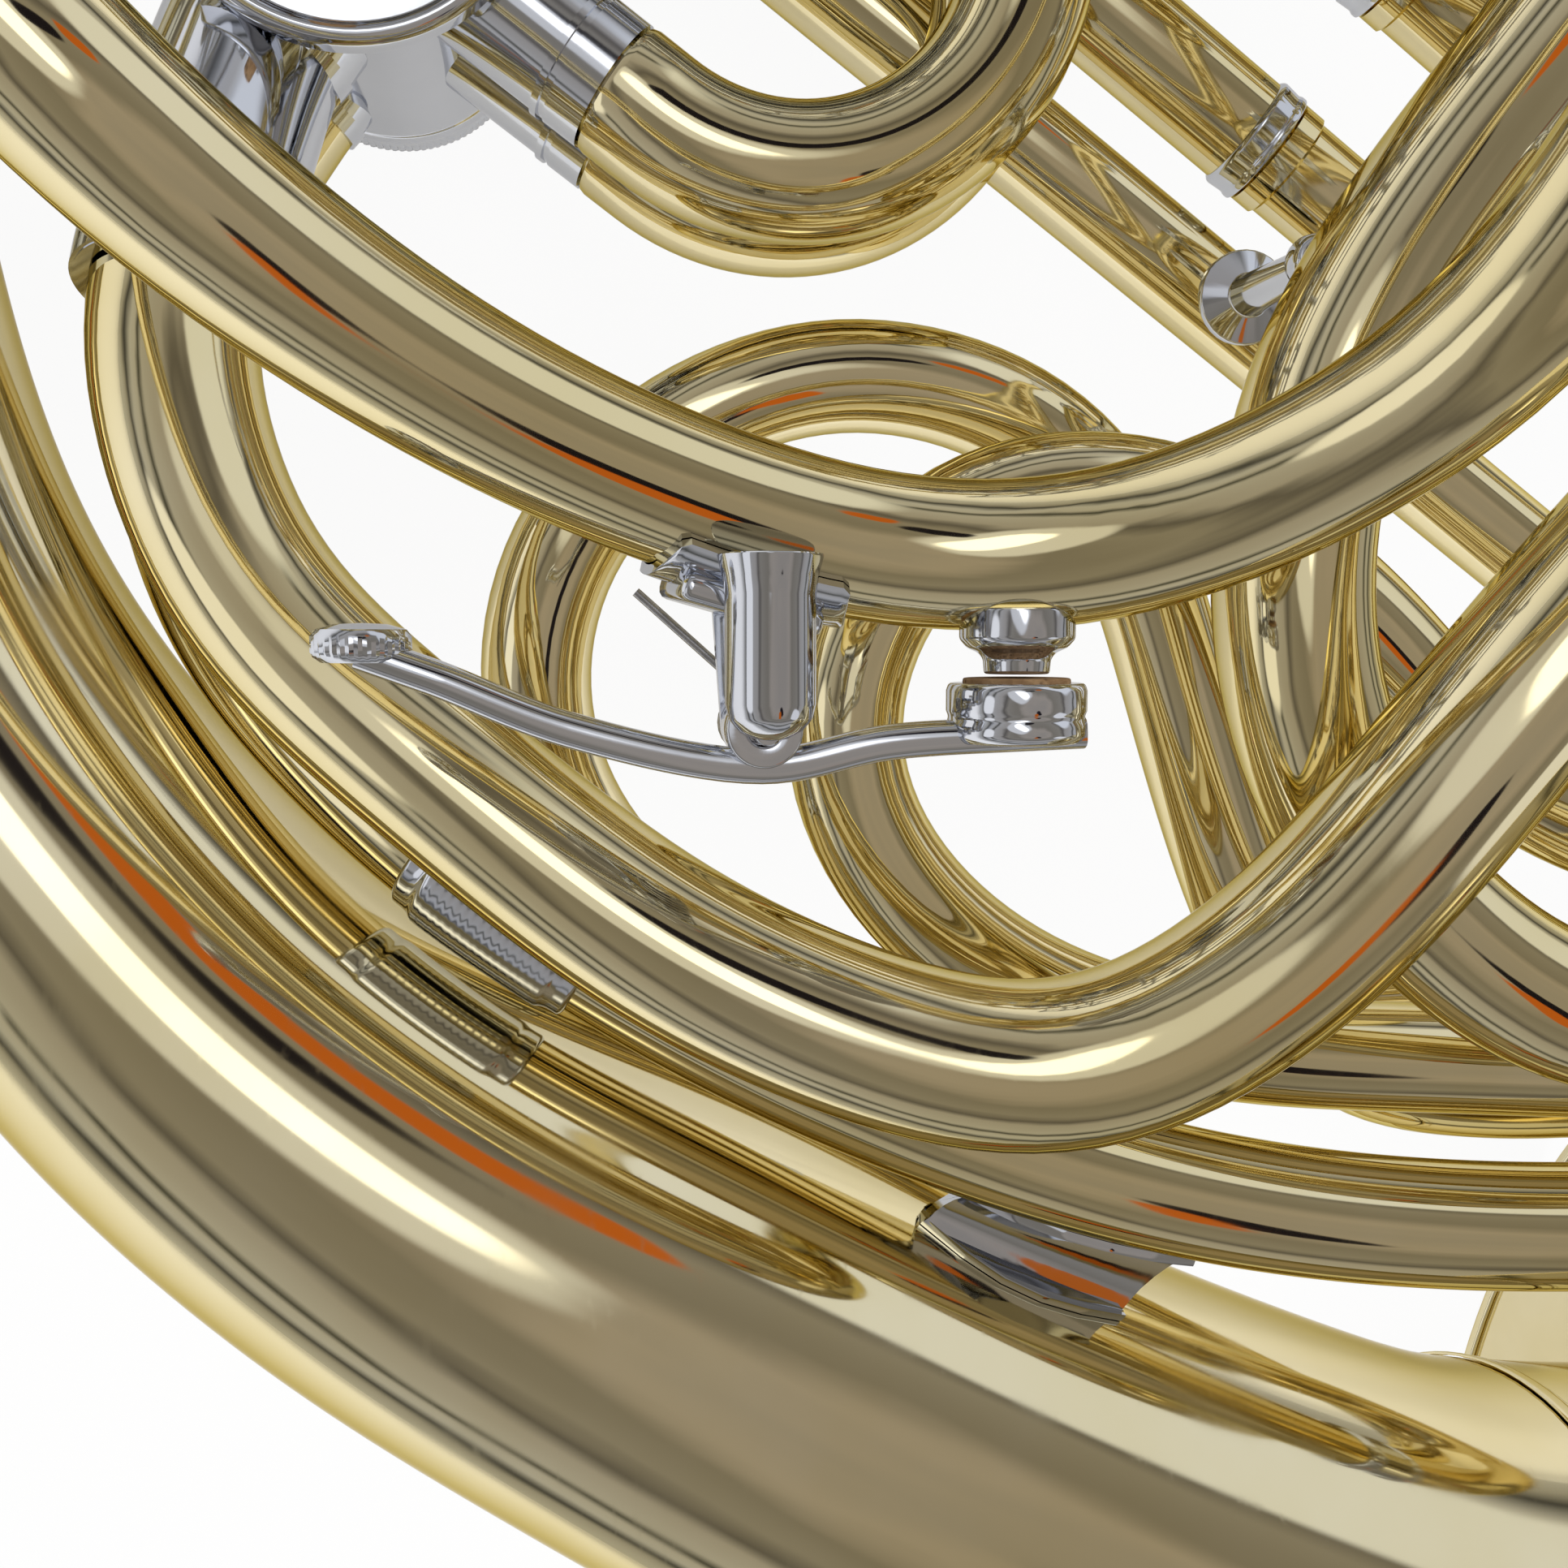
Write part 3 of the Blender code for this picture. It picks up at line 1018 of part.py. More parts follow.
def build_levers():
    """Axle on its bracket with the spring barrels, finger and thumb levers, and their link rods."""
    pivot_bore = around(AXLE_RADIUS + GAP, TUBE_SIDES)
    bar = cylinder(at(BRACKET_S, POST_ROWS[0], BRACKET_W), at(BRACKET_S, POST_ROWS[-1], BRACKET_W), 0.0024)
    parts = []
    for row in POST_ROWS:
        parts.append(cylinder(at(BRACKET_S, row, BRACKET_W), at(AXLE_S, row, AXLE_W), 0.0019))
        parts.append(cylinder(at(AXLE_S, row - POST_WIDTH / 2.0, AXLE_W), at(AXLE_S, row + POST_WIDTH / 2.0, AXLE_W),
                              POST_RADIUS, TUBE_SIDES))
    for low, high in BARRELS:
        parts.append(cylinder(at(AXLE_S, low, AXLE_W), at(AXLE_S, high, AXLE_W), BARREL_RADIUS, TUBE_SIDES))
    spacings = [upper - lower for upper, lower in zip(VALVE_ROWS, VALVE_ROWS[1:])]
    for row, spacing in zip(LEG_ROWS, spacings):
        foot = link_middle(spacing)
        reach = LINK_RADIUS + HOVER_GAP
        way = Vector((0.62, 0.0, -0.785))
        end_s = foot - reach * way.x
        end_w = UPPER_PORT - reach * way.z
        parts.append(rod(
            [at(BRACKET_S, row, BRACKET_W), at(BRACKET_S + 0.002, row, BRACKET_W - 0.010),
             at(end_s - 0.008 * way.x, row, end_w - 0.008 * way.z), at(end_s, row, end_w)],
            0.0022,
        ))
    bracket = fuse(bar, *parts)
    bracket = cut(bracket, cylinder(at(AXLE_S, -0.03, AXLE_W), at(AXLE_S, 0.22, AXLE_W), pivot_bore, TUBE_SIDES))
    node("lever_bracket", NICKEL, bracket)
    node("lever_axle", STEEL, cylinder(at(AXLE_S, POST_ROWS[0] - 0.003, AXLE_W),
                                       at(AXLE_S, POST_ROWS[-1] + 0.003, AXLE_W), AXLE_RADIUS, TUBE_SIDES))

    for index, (row, (low, high, finger)) in enumerate(zip(VALVE_ROWS, HUBS)):
        reach = THUMB_REACH if index == 3 else FINGER_REACH
        name = "thumb_lever" if index == 3 else f"finger_lever_{index + 1}"
        hub = cylinder(at(AXLE_S, low, AXLE_W), at(AXLE_S, high, AXLE_W), HUB_RADIUS, TUBE_SIDES)
        drive_row = row + DRIVE_SIDE
        drive = rod([at(AXLE_S, drive_row, AXLE_W), at(AXLE_S, drive_row, DRIVE_W - 0.0014)], ARM_RADIUS)
        pin = cylinder(at(AXLE_S, drive_row, DRIVE_W), at(AXLE_S, row + LINK_SIDE - 0.0021, DRIVE_W), PIN_RADIUS)
        paddle_s = AXLE_S - reach + PADDLE_SIZE[0] / 2.0
        finger_arm = rod(
            [at(AXLE_S, finger, AXLE_W + 0.0010), at(AXLE_S - 0.012, finger, AXLE_W + 0.0035),
             at(paddle_s, finger, AXLE_W + 0.0030)],
            ARM_RADIUS,
        )
        paddle = block(at(paddle_s, finger, AXLE_W + 0.0036), SLIDE, ROW, PADDLE_SIZE)
        edge = paddle.modifiers.new("edge", "BEVEL")
        edge.width = 0.0011
        edge.segments = 2
        bake(paddle)
        lever = fuse(hub, drive, pin, finger_arm, paddle)
        lever = cut(lever, cylinder(at(AXLE_S, low - 0.002, AXLE_W), at(AXLE_S, high + 0.002, AXLE_W), pivot_bore,
                                    TUBE_SIDES))
        node(name, NICKEL, lever, pivot=at(AXLE_S, (low + high) / 2.0, AXLE_W))

        link_row = row + LINK_SIDE
        eye = cylinder(at(AXLE_S, link_row - 0.0015, DRIVE_W), at(AXLE_S, link_row + 0.0015, DRIVE_W), EYE_RADIUS,
                       TUBE_SIDES)
        end_place = polar(row, math.radians(135.0), STOP_RADIUS, STOP_POST_TOP + HOVER_GAP)
        far_eye = cylinder(end_place, end_place + UP * 0.0022, 0.0030, TUBE_SIDES)
        shaft = rod([at(AXLE_S + 0.0020, link_row, DRIVE_W), end_place + UP * 0.0012], 0.0011)
        link = cut(fuse(eye, shaft, far_eye), cylinder(
            at(AXLE_S, link_row - 0.003, DRIVE_W), at(AXLE_S, link_row + 0.003, DRIVE_W),
            around(PIN_RADIUS + GAP, TUBE_SIDES), TUBE_SIDES,
        ))
        node(f"link_rod_{index + 1}", STEEL, link, pivot=at(AXLE_S, link_row, DRIVE_W))


def build_water_key():
    """Lever, cork, saddle and spring of the water key under the leadpipe."""
    pipe, radius, place = nearest(LEADPIPE, Vector((KEY_PIVOT.x, KEY_PIVOT.y + 0.015, KEY_PIVOT.z)))
    beside = stretch(LEADPIPE, place - 0.004, place + 0.004)
    lean = beside[0][0] - beside[-1][0]
    down = Vector((0.0, -1.0, 0.0))
    side = Vector((1.0, 0.0, 0.0))
    square = Vector((lean.y, -lean.x, 0.0)).normalized()
    base_middle = pipe + square * (radius + HOVER_GAP + 0.0012)
    base_top = base_middle.y
    base_place = Vector((base_middle.x, base_middle.y, KEY_PIVOT.z + KEY_BASE_SHIFT))
    base = block(base_place, lean, square, (0.0085, 0.0024, KEY_BASE_WIDTH))
    cheek_middle = Vector((KEY_PIVOT.x, (base_top + KEY_PIVOT.y - 0.0026) / 2.0, KEY_PIVOT.z - 0.0038))
    cheek = block(cheek_middle, side, down, (0.0056, base_top - KEY_PIVOT.y + 0.0026, 0.0014))
    post_w = KEY_PIVOT.z + KEY_POST_SIDE
    post = cylinder(
        Vector((KEY_PIVOT.x, base_top, post_w)), Vector((KEY_PIVOT.x, KEY_PIVOT.y - 0.0014, post_w)),
        KEY_POST_RADIUS, 12,
    )
    pin = cylinder(KEY_PIVOT - UP * 0.0112, KEY_PIVOT + UP * KEY_POST_SIDE, KEY_PIN_RADIUS)
    node("water_key_saddle", NICKEL, fuse(base, cheek, post, pin))

    cork_face = nipple_foot() + down * (NIPPLE_RISE + GAP)
    cork = cylinder(cork_face, cork_face + down * 0.0022, KEY_CUP_RADIUS - 0.0013, TUBE_SIDES)
    node("water_key_cork", CORK, cork, pivot=KEY_PIVOT)
    cup_low = cork_face + down * (0.0022 + GAP)
    cup = cylinder(cork_face + down * 0.0004, cup_low + down * 0.0026, KEY_CUP_RADIUS, 16)
    hollow = cylinder(cork_face - down * 0.001, cup_low, around(KEY_CUP_RADIUS - 0.0013 + GAP, TUBE_SIDES),
                      TUBE_SIDES)
    cup = cut(cup, hollow)
    floor = cup_low + down * 0.0020
    strip = rod(
        [
            floor + side * 0.0045, floor, Vector((-0.058, floor.y - 0.0006, KEY_CUP.z)),
            Vector((KEY_PIVOT.x, -0.0655, KEY_PIVOT.z)), Vector((-0.083, -0.0625, KEY_TOUCH.z)),
            Vector((-0.093, -0.0585, KEY_TOUCH.z)), KEY_TOUCH,
        ],
        0.0018,
    )
    eye = cylinder(KEY_PIVOT - UP * 0.0027, KEY_PIVOT + UP * 0.0027, 0.0030, TUBE_SIDES)
    touch = cylinder(KEY_TOUCH + down * 0.0008, KEY_TOUCH - down * 0.0020, 0.0036, TUBE_SIDES)
    lever = fuse(cup, strip, eye, touch)
    lever = cut(lever, cylinder(KEY_PIVOT - UP * 0.004, KEY_PIVOT + UP * 0.004,
                                around(KEY_PIN_RADIUS + GAP, TUBE_SIDES), TUBE_SIDES))
    node("water_key_lever", NICKEL, lever, pivot=KEY_PIVOT)

    wire = 0.0004
    coil_radius = 0.0024
    pitch = 0.0013
    turns = 3
    steps = 10
    coil = []
    for step in range(turns * steps + steps // 2 + 1):
        angle = math.tau * step / steps - math.pi / 2.0
        depth = 0.0055 + pitch * step / steps
        coil.append(KEY_PIVOT + Vector((coil_radius * math.cos(angle), coil_radius * math.sin(angle), -depth)))
    coil = [coil[0] + Vector((-0.0095, -0.0006, 0.0))] + coil + [coil[-1] + Vector((-0.0095, 0.0085, 0.0))]
    closest = 1.0
    for index, spot in enumerate(coil):
        for other in coil[index + steps // 2:]:
            closest = min(closest, (other - spot).length)
    print("water key spring, least gap to itself in mm:", round((closest - 2.0 * wire) * 1000.0, 3))
    node("water_key_spring", STEEL, rod(coil, wire, 4))


def build_small_parts():
    """The ribbed ferrule and the brace at the lower branch, and the little finger's hook."""
    node("branch_ferrule", NICKEL, ferrule(LOWER_BRANCH, Vector((-0.0908, -0.0857, 0.0142)), 0.022))
    node("bell_brace", NICKEL, leaf_brace(LOWER_BRANCH, (-0.0235, -0.1170, 0.020), BELL_TAIL))
    hook_foot, foot_radius, _ = nearest(LEADPIPE, Vector((-0.148, 0.136, 0.025)))
    start = hook_foot + UP * (foot_radius + HOVER_GAP)
    inward = Vector((0.75, -0.66, 0.0))
    hook = rod(
        [
            start, start + UP * 0.010, start + UP * 0.020 - inward * 0.006, start + UP * 0.032 - inward * 0.004,
            start + UP * 0.036 + inward * 0.008, start + UP * 0.030 + inward * 0.018,
        ],
        0.0021,
    )
    node("little_finger_hook", NICKEL, fuse(hook, cylinder(start, start + UP * 0.0014, 0.0050, TUBE_SIDES)))


def lay_down():
    """Lays the horn down and puts the origin under its middle, on the surface it lies on."""
    turn = Matrix.Rotation(LAY_PITCH, 4, "Y") @ Matrix.Rotation(LAY_ROLL, 4, "X")
    corners = []
    for obj in horn.objects:
        if obj.type == "MESH":
            corners.extend(turn @ (vertex.co + obj.location) for vertex in obj.data.vertices)
    low = [min(corner[axis] for corner in corners) for axis in range(3)]
    high = [max(corner[axis] for corner in corners) for axis in range(3)]
    shift = Vector((-(low[0] + high[0]) / 2.0, -(low[1] + high[1]) / 2.0, -low[2]))
    lay.matrix_world = Matrix.Translation(shift) @ turn


build_bell()
build_mouth_end()
build_long_tubes()
build_valves()
build_links()
build_valve_slides()
build_main_slide()
build_change_crooks()
build_levers()
build_water_key()
build_small_parts()
lay_down()
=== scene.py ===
"""Double french horn in lacquered brass and nickel silver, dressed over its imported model.

Lengths are metres. Every piece is drawn in the horn's own frame, X towards the player's side, Y towards the top
bow and Z up on the lever side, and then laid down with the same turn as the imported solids. In the valve section
a place is given along the slides (s), along the valve row (r) and up (w).
"""
import math

import bmesh
import bpy
from mathutils import Matrix, Vector


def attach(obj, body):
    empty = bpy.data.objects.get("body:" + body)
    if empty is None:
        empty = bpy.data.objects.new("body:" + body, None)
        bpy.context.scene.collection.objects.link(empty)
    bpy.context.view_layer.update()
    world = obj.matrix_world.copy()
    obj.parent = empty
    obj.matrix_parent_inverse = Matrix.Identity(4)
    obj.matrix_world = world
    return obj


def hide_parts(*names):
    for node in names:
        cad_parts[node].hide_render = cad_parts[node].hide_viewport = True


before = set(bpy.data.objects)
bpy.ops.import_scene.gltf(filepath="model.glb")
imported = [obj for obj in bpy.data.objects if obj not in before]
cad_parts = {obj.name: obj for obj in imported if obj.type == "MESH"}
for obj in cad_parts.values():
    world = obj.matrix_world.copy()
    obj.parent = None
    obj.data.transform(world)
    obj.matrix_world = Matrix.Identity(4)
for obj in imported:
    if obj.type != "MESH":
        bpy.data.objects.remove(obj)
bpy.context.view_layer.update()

LAY = Matrix((
    (0.9571175, 0.059292, -0.2835675, -0.0145348),
    (0.0, 0.9788317, 0.2046669, 0.0741552),
    (0.2897, -0.1958902, 0.936857, 0.076482),
    (0.0, 0.0, 0.0, 1.0),
))
GAP = 0.0003
UP = Vector((0.0, 0.0, 1.0))
DOWN_FRAME = Vector((0.0, -1.0, 0.0))

# Valve row
ROW_ANGLE = math.radians(54.0)
ROW = Vector((math.cos(ROW_ANGLE), math.sin(ROW_ANGLE), 0.0))
SLIDE = Vector((math.sin(ROW_ANGLE), -math.cos(ROW_ANGLE), 0.0))
CHANGE_VALVE = Vector((-0.105, 0.023, 0.0))
VALVE_ROWS = (0.178, 0.132, 0.086, 0.0)
CASING_RADIUS = 0.0162
CASING_TOP = 0.0210
CASING_LOW = -0.0246
STUB_REACH = 0.0168
PORT_REACH = STUB_REACH + GAP
UPPER_PORT = 0.0090
LOWER_PORT = -0.0170
PLATE_RADIUS = 0.0168
PLATE_RISE = 0.0026
CHANGE_LOWER_PORT = -0.0115
CHANGE_CASING_LOW = -0.0187
CHANGE_PLATE_RADIUS = 0.0198
CHANGE_CAP_RADIUS = 0.0164

# Slides
SLEEVE_RADIUS = 0.0069
LEG_RADIUS = 0.0056
BOW_RADIUS = 0.0066
LINK_RADIUS = 0.0064
FEED_ROW = 0.036
F_SPAN = 0.0300
HALF_SPAN = 0.0150
F_SLIDES = ((0.076, 0.096, 0.036), (0.070, 0.084, 0.032), (0.100, 0.128, 0.048))
B_SLIDES = ((0.055, 0.064, 0.032), (0.050, 0.056, 0.027), (0.058, 0.066, 0.035))
PORT_BEND = 0.0085
LINK_REACH = 0.0240
LINK_BEND = 0.0120
MAIN_LAYER = 0.036
MAIN_SPAN = 0.035
MAIN_OPEN = 0.092
MAIN_TANGENT = 0.0985
MAIN_LEG_ROW = VALVE_ROWS[0] + MAIN_SPAN
CROOK_ROWS = (0.0, 0.0520)
CROOK_OPEN = 0.0330
CROOK_TANGENT = 0.0385
CROOK_LAYERS = (0.0132, -0.0022)

# Levers
AXLE_S = -0.034
AXLE_W = 0.058
DRIVE_W = 0.0305
BRACKET_S = -0.042
BRACKET_W = 0.046
POST_ROWS = (-0.012, 0.0205, 0.086, 0.120, 0.14575, 0.198)
LEG_ROWS = (0.155, 0.109, 0.043)
HUBS = ((0.1485, 0.1900, 0.1510), (0.1225, 0.1430, 0.1290), (0.0885, 0.1120, 0.1085), (-0.0095, 0.0120, 0.0000))
BARRELS = ((0.1905, 0.1965), (0.1435, 0.1480), (0.1125, 0.1185), (0.0125, 0.0190))

# Water key
KEY_PIVOT = Vector((-0.068, -0.0625, 0.066))
KEY_CUP = Vector((-0.0475, -0.0615, 0.066))
KEY_TOUCH = Vector((-0.0985, -0.0565, 0.066))

# Bell
BELL_MOUTH_RADIUS = 0.1550
BELL_THROAT_RADIUS = 0.0380
BELL_LENGTH = 0.1350
BELL_WALL = 0.0010
RIM_RADIUS = 0.0018
FLARE_START = Vector((0.038, -0.196, -0.004))
FLARE_AXIS = Vector((0.9415, -0.3125, -0.1260)).normalized()


def at(s, r, w):
    """A place in the valve section."""
    return CHANGE_VALVE + SLIDE * s + ROW * r + UP * w


def polar(row, angle, reach, w):
    """A place around a valve, turning from the slide direction towards the row direction."""
    return at(reach * math.cos(angle), row + reach * math.sin(angle), w)


# Runs of tube, as pairs of point and radius

def spline_point(before, first, second, after, share):
    """A point between first and second on a curve through four unevenly spaced points."""
    knots = [0.0]
    for near, far in ((before, first), (first, second), (second, after)):
        knots.append(knots[-1] + max((far - near).length, 1e-9) ** 0.5)
    place = knots[1] + share * (knots[2] - knots[1])

    def blend(low, high, start, end):
        part = (place - start) / (end - start)
        return low * (1.0 - part) + high * part

    a = blend(before, first, knots[0], knots[1])
    b = blend(first, second, knots[1], knots[2])
    c = blend(second, after, knots[2], knots[3])
    d = blend(a, b, knots[0], knots[2])
    e = blend(b, c, knots[1], knots[3])
    return blend(d, e, knots[1], knots[2])


def wound(points, radii, steps=9):
    """A smooth run of tube through points, with its first and last stretch straight."""
    stops = [Vector((*point, radius)) for point, radius in zip(points, radii)]
    padded = [stops[0] * 2.0 - stops[1]] + stops + [stops[-1] * 2.0 - stops[-2]]
    fine = []
    for index in range(len(stops) - 1):
        for step in range(steps):
            if 0 < step and index in (0, len(stops) - 2):
                continue
            fine.append(spline_point(*padded[index:index + 4], step / steps))
    fine.append(stops[-1])
    return [(stop.xyz, stop.w) for stop in fine]


def relaxed(stops, spacing=0.0025, rounds=14):
    """A run with evenly spaced stops and without the small kinks of its corners."""
    total = sum((far[0] - near[0]).length for near, far in zip(stops, stops[1:]))
    count = round(total / spacing)
    even = [Vector((*point_at(stops, total * step / count)[0], point_at(stops, total * step / count)[1]))
            for step in range(count + 1)]
    for _ in range(rounds):
        inner = [near * 0.25 + here * 0.5 + far * 0.25 for near, here, far in zip(even[1:], even[2:], even[3:])]
        even = even[:2] + inner + even[-1:]
    return [(stop.xyz, stop.w) for stop in even]


def bent(points, bend, radius):
    """A run along straight lines with round bends between them."""
    stops = [(points[0], radius)]
    for before, corner, after in zip(points, points[1:], points[2:]):
        arriving = (corner - before).normalized()
        leaving = (after - corner).normalized()
        angle = arriving.angle(leaving)
        start = corner - arriving * bend * math.tan(angle / 2.0)
        centre = corner + (leaving - arriving).normalized() * bend / math.cos(angle / 2.0)
        steps = max(3, round(angle / math.radians(6.0)))
        for step in range(steps + 1):
            turn = angle * step / steps
            spot = centre + (start - centre) * math.cos(turn) + arriving * bend * math.sin(turn)
            stops.append((spot, radius))
    stops.append((points[-1], radius))
    return stops


def nearest(stops, hint):
    """The point of a run nearest to a hint, its radius, how far along it lies, and the run's direction there."""
    best = None
    along = 0.0
    for (start, first), (end, second) in zip(stops, stops[1:]):
        span = end - start
        share = min(1.0, max(0.0, (hint - start).dot(span) / span.length_squared))
        spot = start + span * share
        gap = (hint - spot).length
        if best is None or gap < best[0]:
            best = (gap, spot, first + (second - first) * share, along + span.length * share, span.normalized())
        along += span.length
    return best[1:]


def stretch(stops, low, high):
    """The part of a run between two distances along it."""
    kept = []
    along = 0.0
    for (start, first), (end, second) in zip(stops, stops[1:]):
        length = (end - start).length
        for wanted in (low, high):
            if along <= wanted < along + length:
                share = (wanted - along) / length
                kept.append((start + (end - start) * share, first + (second - first) * share))
        if low < along + length < high:
            kept.append((end, second))
        along += length
    return kept


def split(stops, hints):
    """Parts a run at the places nearest to the hints."""
    cuts = [0.0] + [nearest(stops, Vector(hint))[2] for hint in hints] + [99.0]
    return [stretch(stops, low, high) for low, high in zip(cuts, cuts[1:])]


def widened(stops, extra):
    """The same run with more radius."""
    return [(point, radius + extra) for point, radius in stops]


def around(stops, hint, length):
    """A short stretch of a run around a hint."""
    middle = nearest(stops, Vector(hint))[2]
    return stretch(stops, middle - length / 2.0, middle + length / 2.0)


def beads(stops, hint, length, lift, marks):
    """A ferrule's run: a sleeve with rounded ends and raised beads at the marked shares of its length."""
    middle = nearest(stops, Vector(hint))[2]
    low = middle - length / 2.0
    made = []
    count = max(60, int(length / 0.00012))
    for step in range(count + 1):
        share = step / count
        from_end = min(share, 1.0 - share) * length
        rise = lift * min(1.0, from_end / 0.0005) ** 0.5
        for mark in marks:
            away = abs(share - mark) * length / 0.0007
            rise += 0.00045 * math.exp(-away * away)
        spot, radius, _, _ = point_at(stops, low + share * length)
        made.append((spot, radius + 0.00005 + rise))
    return made


def point_at(stops, distance):
    """The place at a distance along a run."""
    along = 0.0
    for (start, first), (end, second) in zip(stops, stops[1:]):
        span = end - start
        if along + span.length >= distance:
            share = (distance - along) / span.length
            return start + span * share, first + (second - first) * share, distance, span.normalized()
        along += span.length
    return stops[-1][0], stops[-1][1], along, (stops[-1][0] - stops[-2][0]).normalized()


LEADPIPE = relaxed(wound(
    [
        (0.104, 0.145, 0.092), (0.093, 0.131, 0.093), (0.060, 0.095, 0.095), (0.025, 0.045, 0.095),
        (0.000, 0.000, 0.092), (-0.0165, -0.031, 0.088), (-0.022, -0.039, 0.080), (-0.0385, -0.048, 0.068),
        (-0.055, -0.049, 0.064), (-0.070, -0.0458, 0.0655), (-0.0884, -0.0387, 0.0710), (-0.1042, -0.0292, 0.0795),
        (-0.1128, -0.0216, 0.0840), (-0.1225, -0.0112, 0.0830), (-0.146, 0.012, 0.066), (-0.164, 0.036, 0.043),
        (-0.169, 0.070, 0.032), (-0.160, 0.116, 0.026), (-0.132, 0.162, 0.025), (-0.090, 0.197, 0.025),
        (-0.045, 0.218, 0.027), (-0.008, 0.215, 0.033), at(0.004, MAIN_LEG_ROW, MAIN_LAYER),
        at(0.0182, MAIN_LEG_ROW, MAIN_LAYER),
    ],
    [0.0045] * 2 + [0.0050, 0.0053, 0.0056, 0.0058, 0.0058] + [0.0060] * 4 + [0.0062] * 11 + [0.0058] * 2,
))
DOWN_THE_ROW = math.radians(-90.0)
BELL_LINE = relaxed(wound(
    [
        polar(0.0, DOWN_THE_ROW, PORT_REACH, 0.010), polar(0.0, DOWN_THE_ROW, PORT_REACH + 0.003, 0.010),
        (-0.1195, -0.0085, 0.0180), (-0.1225, -0.025, 0.0250), (-0.1155, -0.049, 0.030), (-0.095, -0.069, 0.036),
        (-0.0685, -0.088, 0.042), (-0.0376, -0.097, 0.046), (-0.0184, -0.087, 0.050), (0.005, -0.056, 0.057),
        (0.045, -0.010, 0.058), (0.080, 0.030, 0.040), (0.108, 0.070, 0.016), (0.117, 0.105, 0.006),
        (0.113, 0.130, 0.004), (0.1055, 0.146, 0.003), (0.094, 0.163, 0.003), (0.066, 0.189, 0.003),
        (0.030, 0.204, 0.003), (-0.020, 0.206, 0.003), (-0.072, 0.188, 0.003), (-0.120, 0.148, 0.003),
        (-0.151, 0.098, 0.002), (-0.168, 0.045, 0.001), (-0.169, -0.006, 0.000), (-0.158, -0.053, 0.000),
        (-0.133, -0.093, 0.000), (-0.107, -0.1175, 0.000), (-0.070, -0.141, 0.000), (-0.017, -0.171, -0.001),
        FLARE_START - FLARE_AXIS * 0.012, FLARE_START - FLARE_AXIS * GAP,
    ],
    [0.0081] * 5 + [0.0083] * 9
    + [
        0.0084, 0.0086, 0.0092, 0.0098, 0.0101, 0.0105, 0.0120, 0.0140, 0.0158, 0.0178, 0.0197, 0.0216, 0.0245,
        0.0272, 0.0303, 0.0336, 0.0368, BELL_THROAT_RADIUS,
    ],
))
BRANCH_SLEEVE, BRANCH, BELL_TAIL = split(BELL_LINE, [(-0.1222, -0.0215, 0.0237), (0.109, 0.138, 0.0035)])
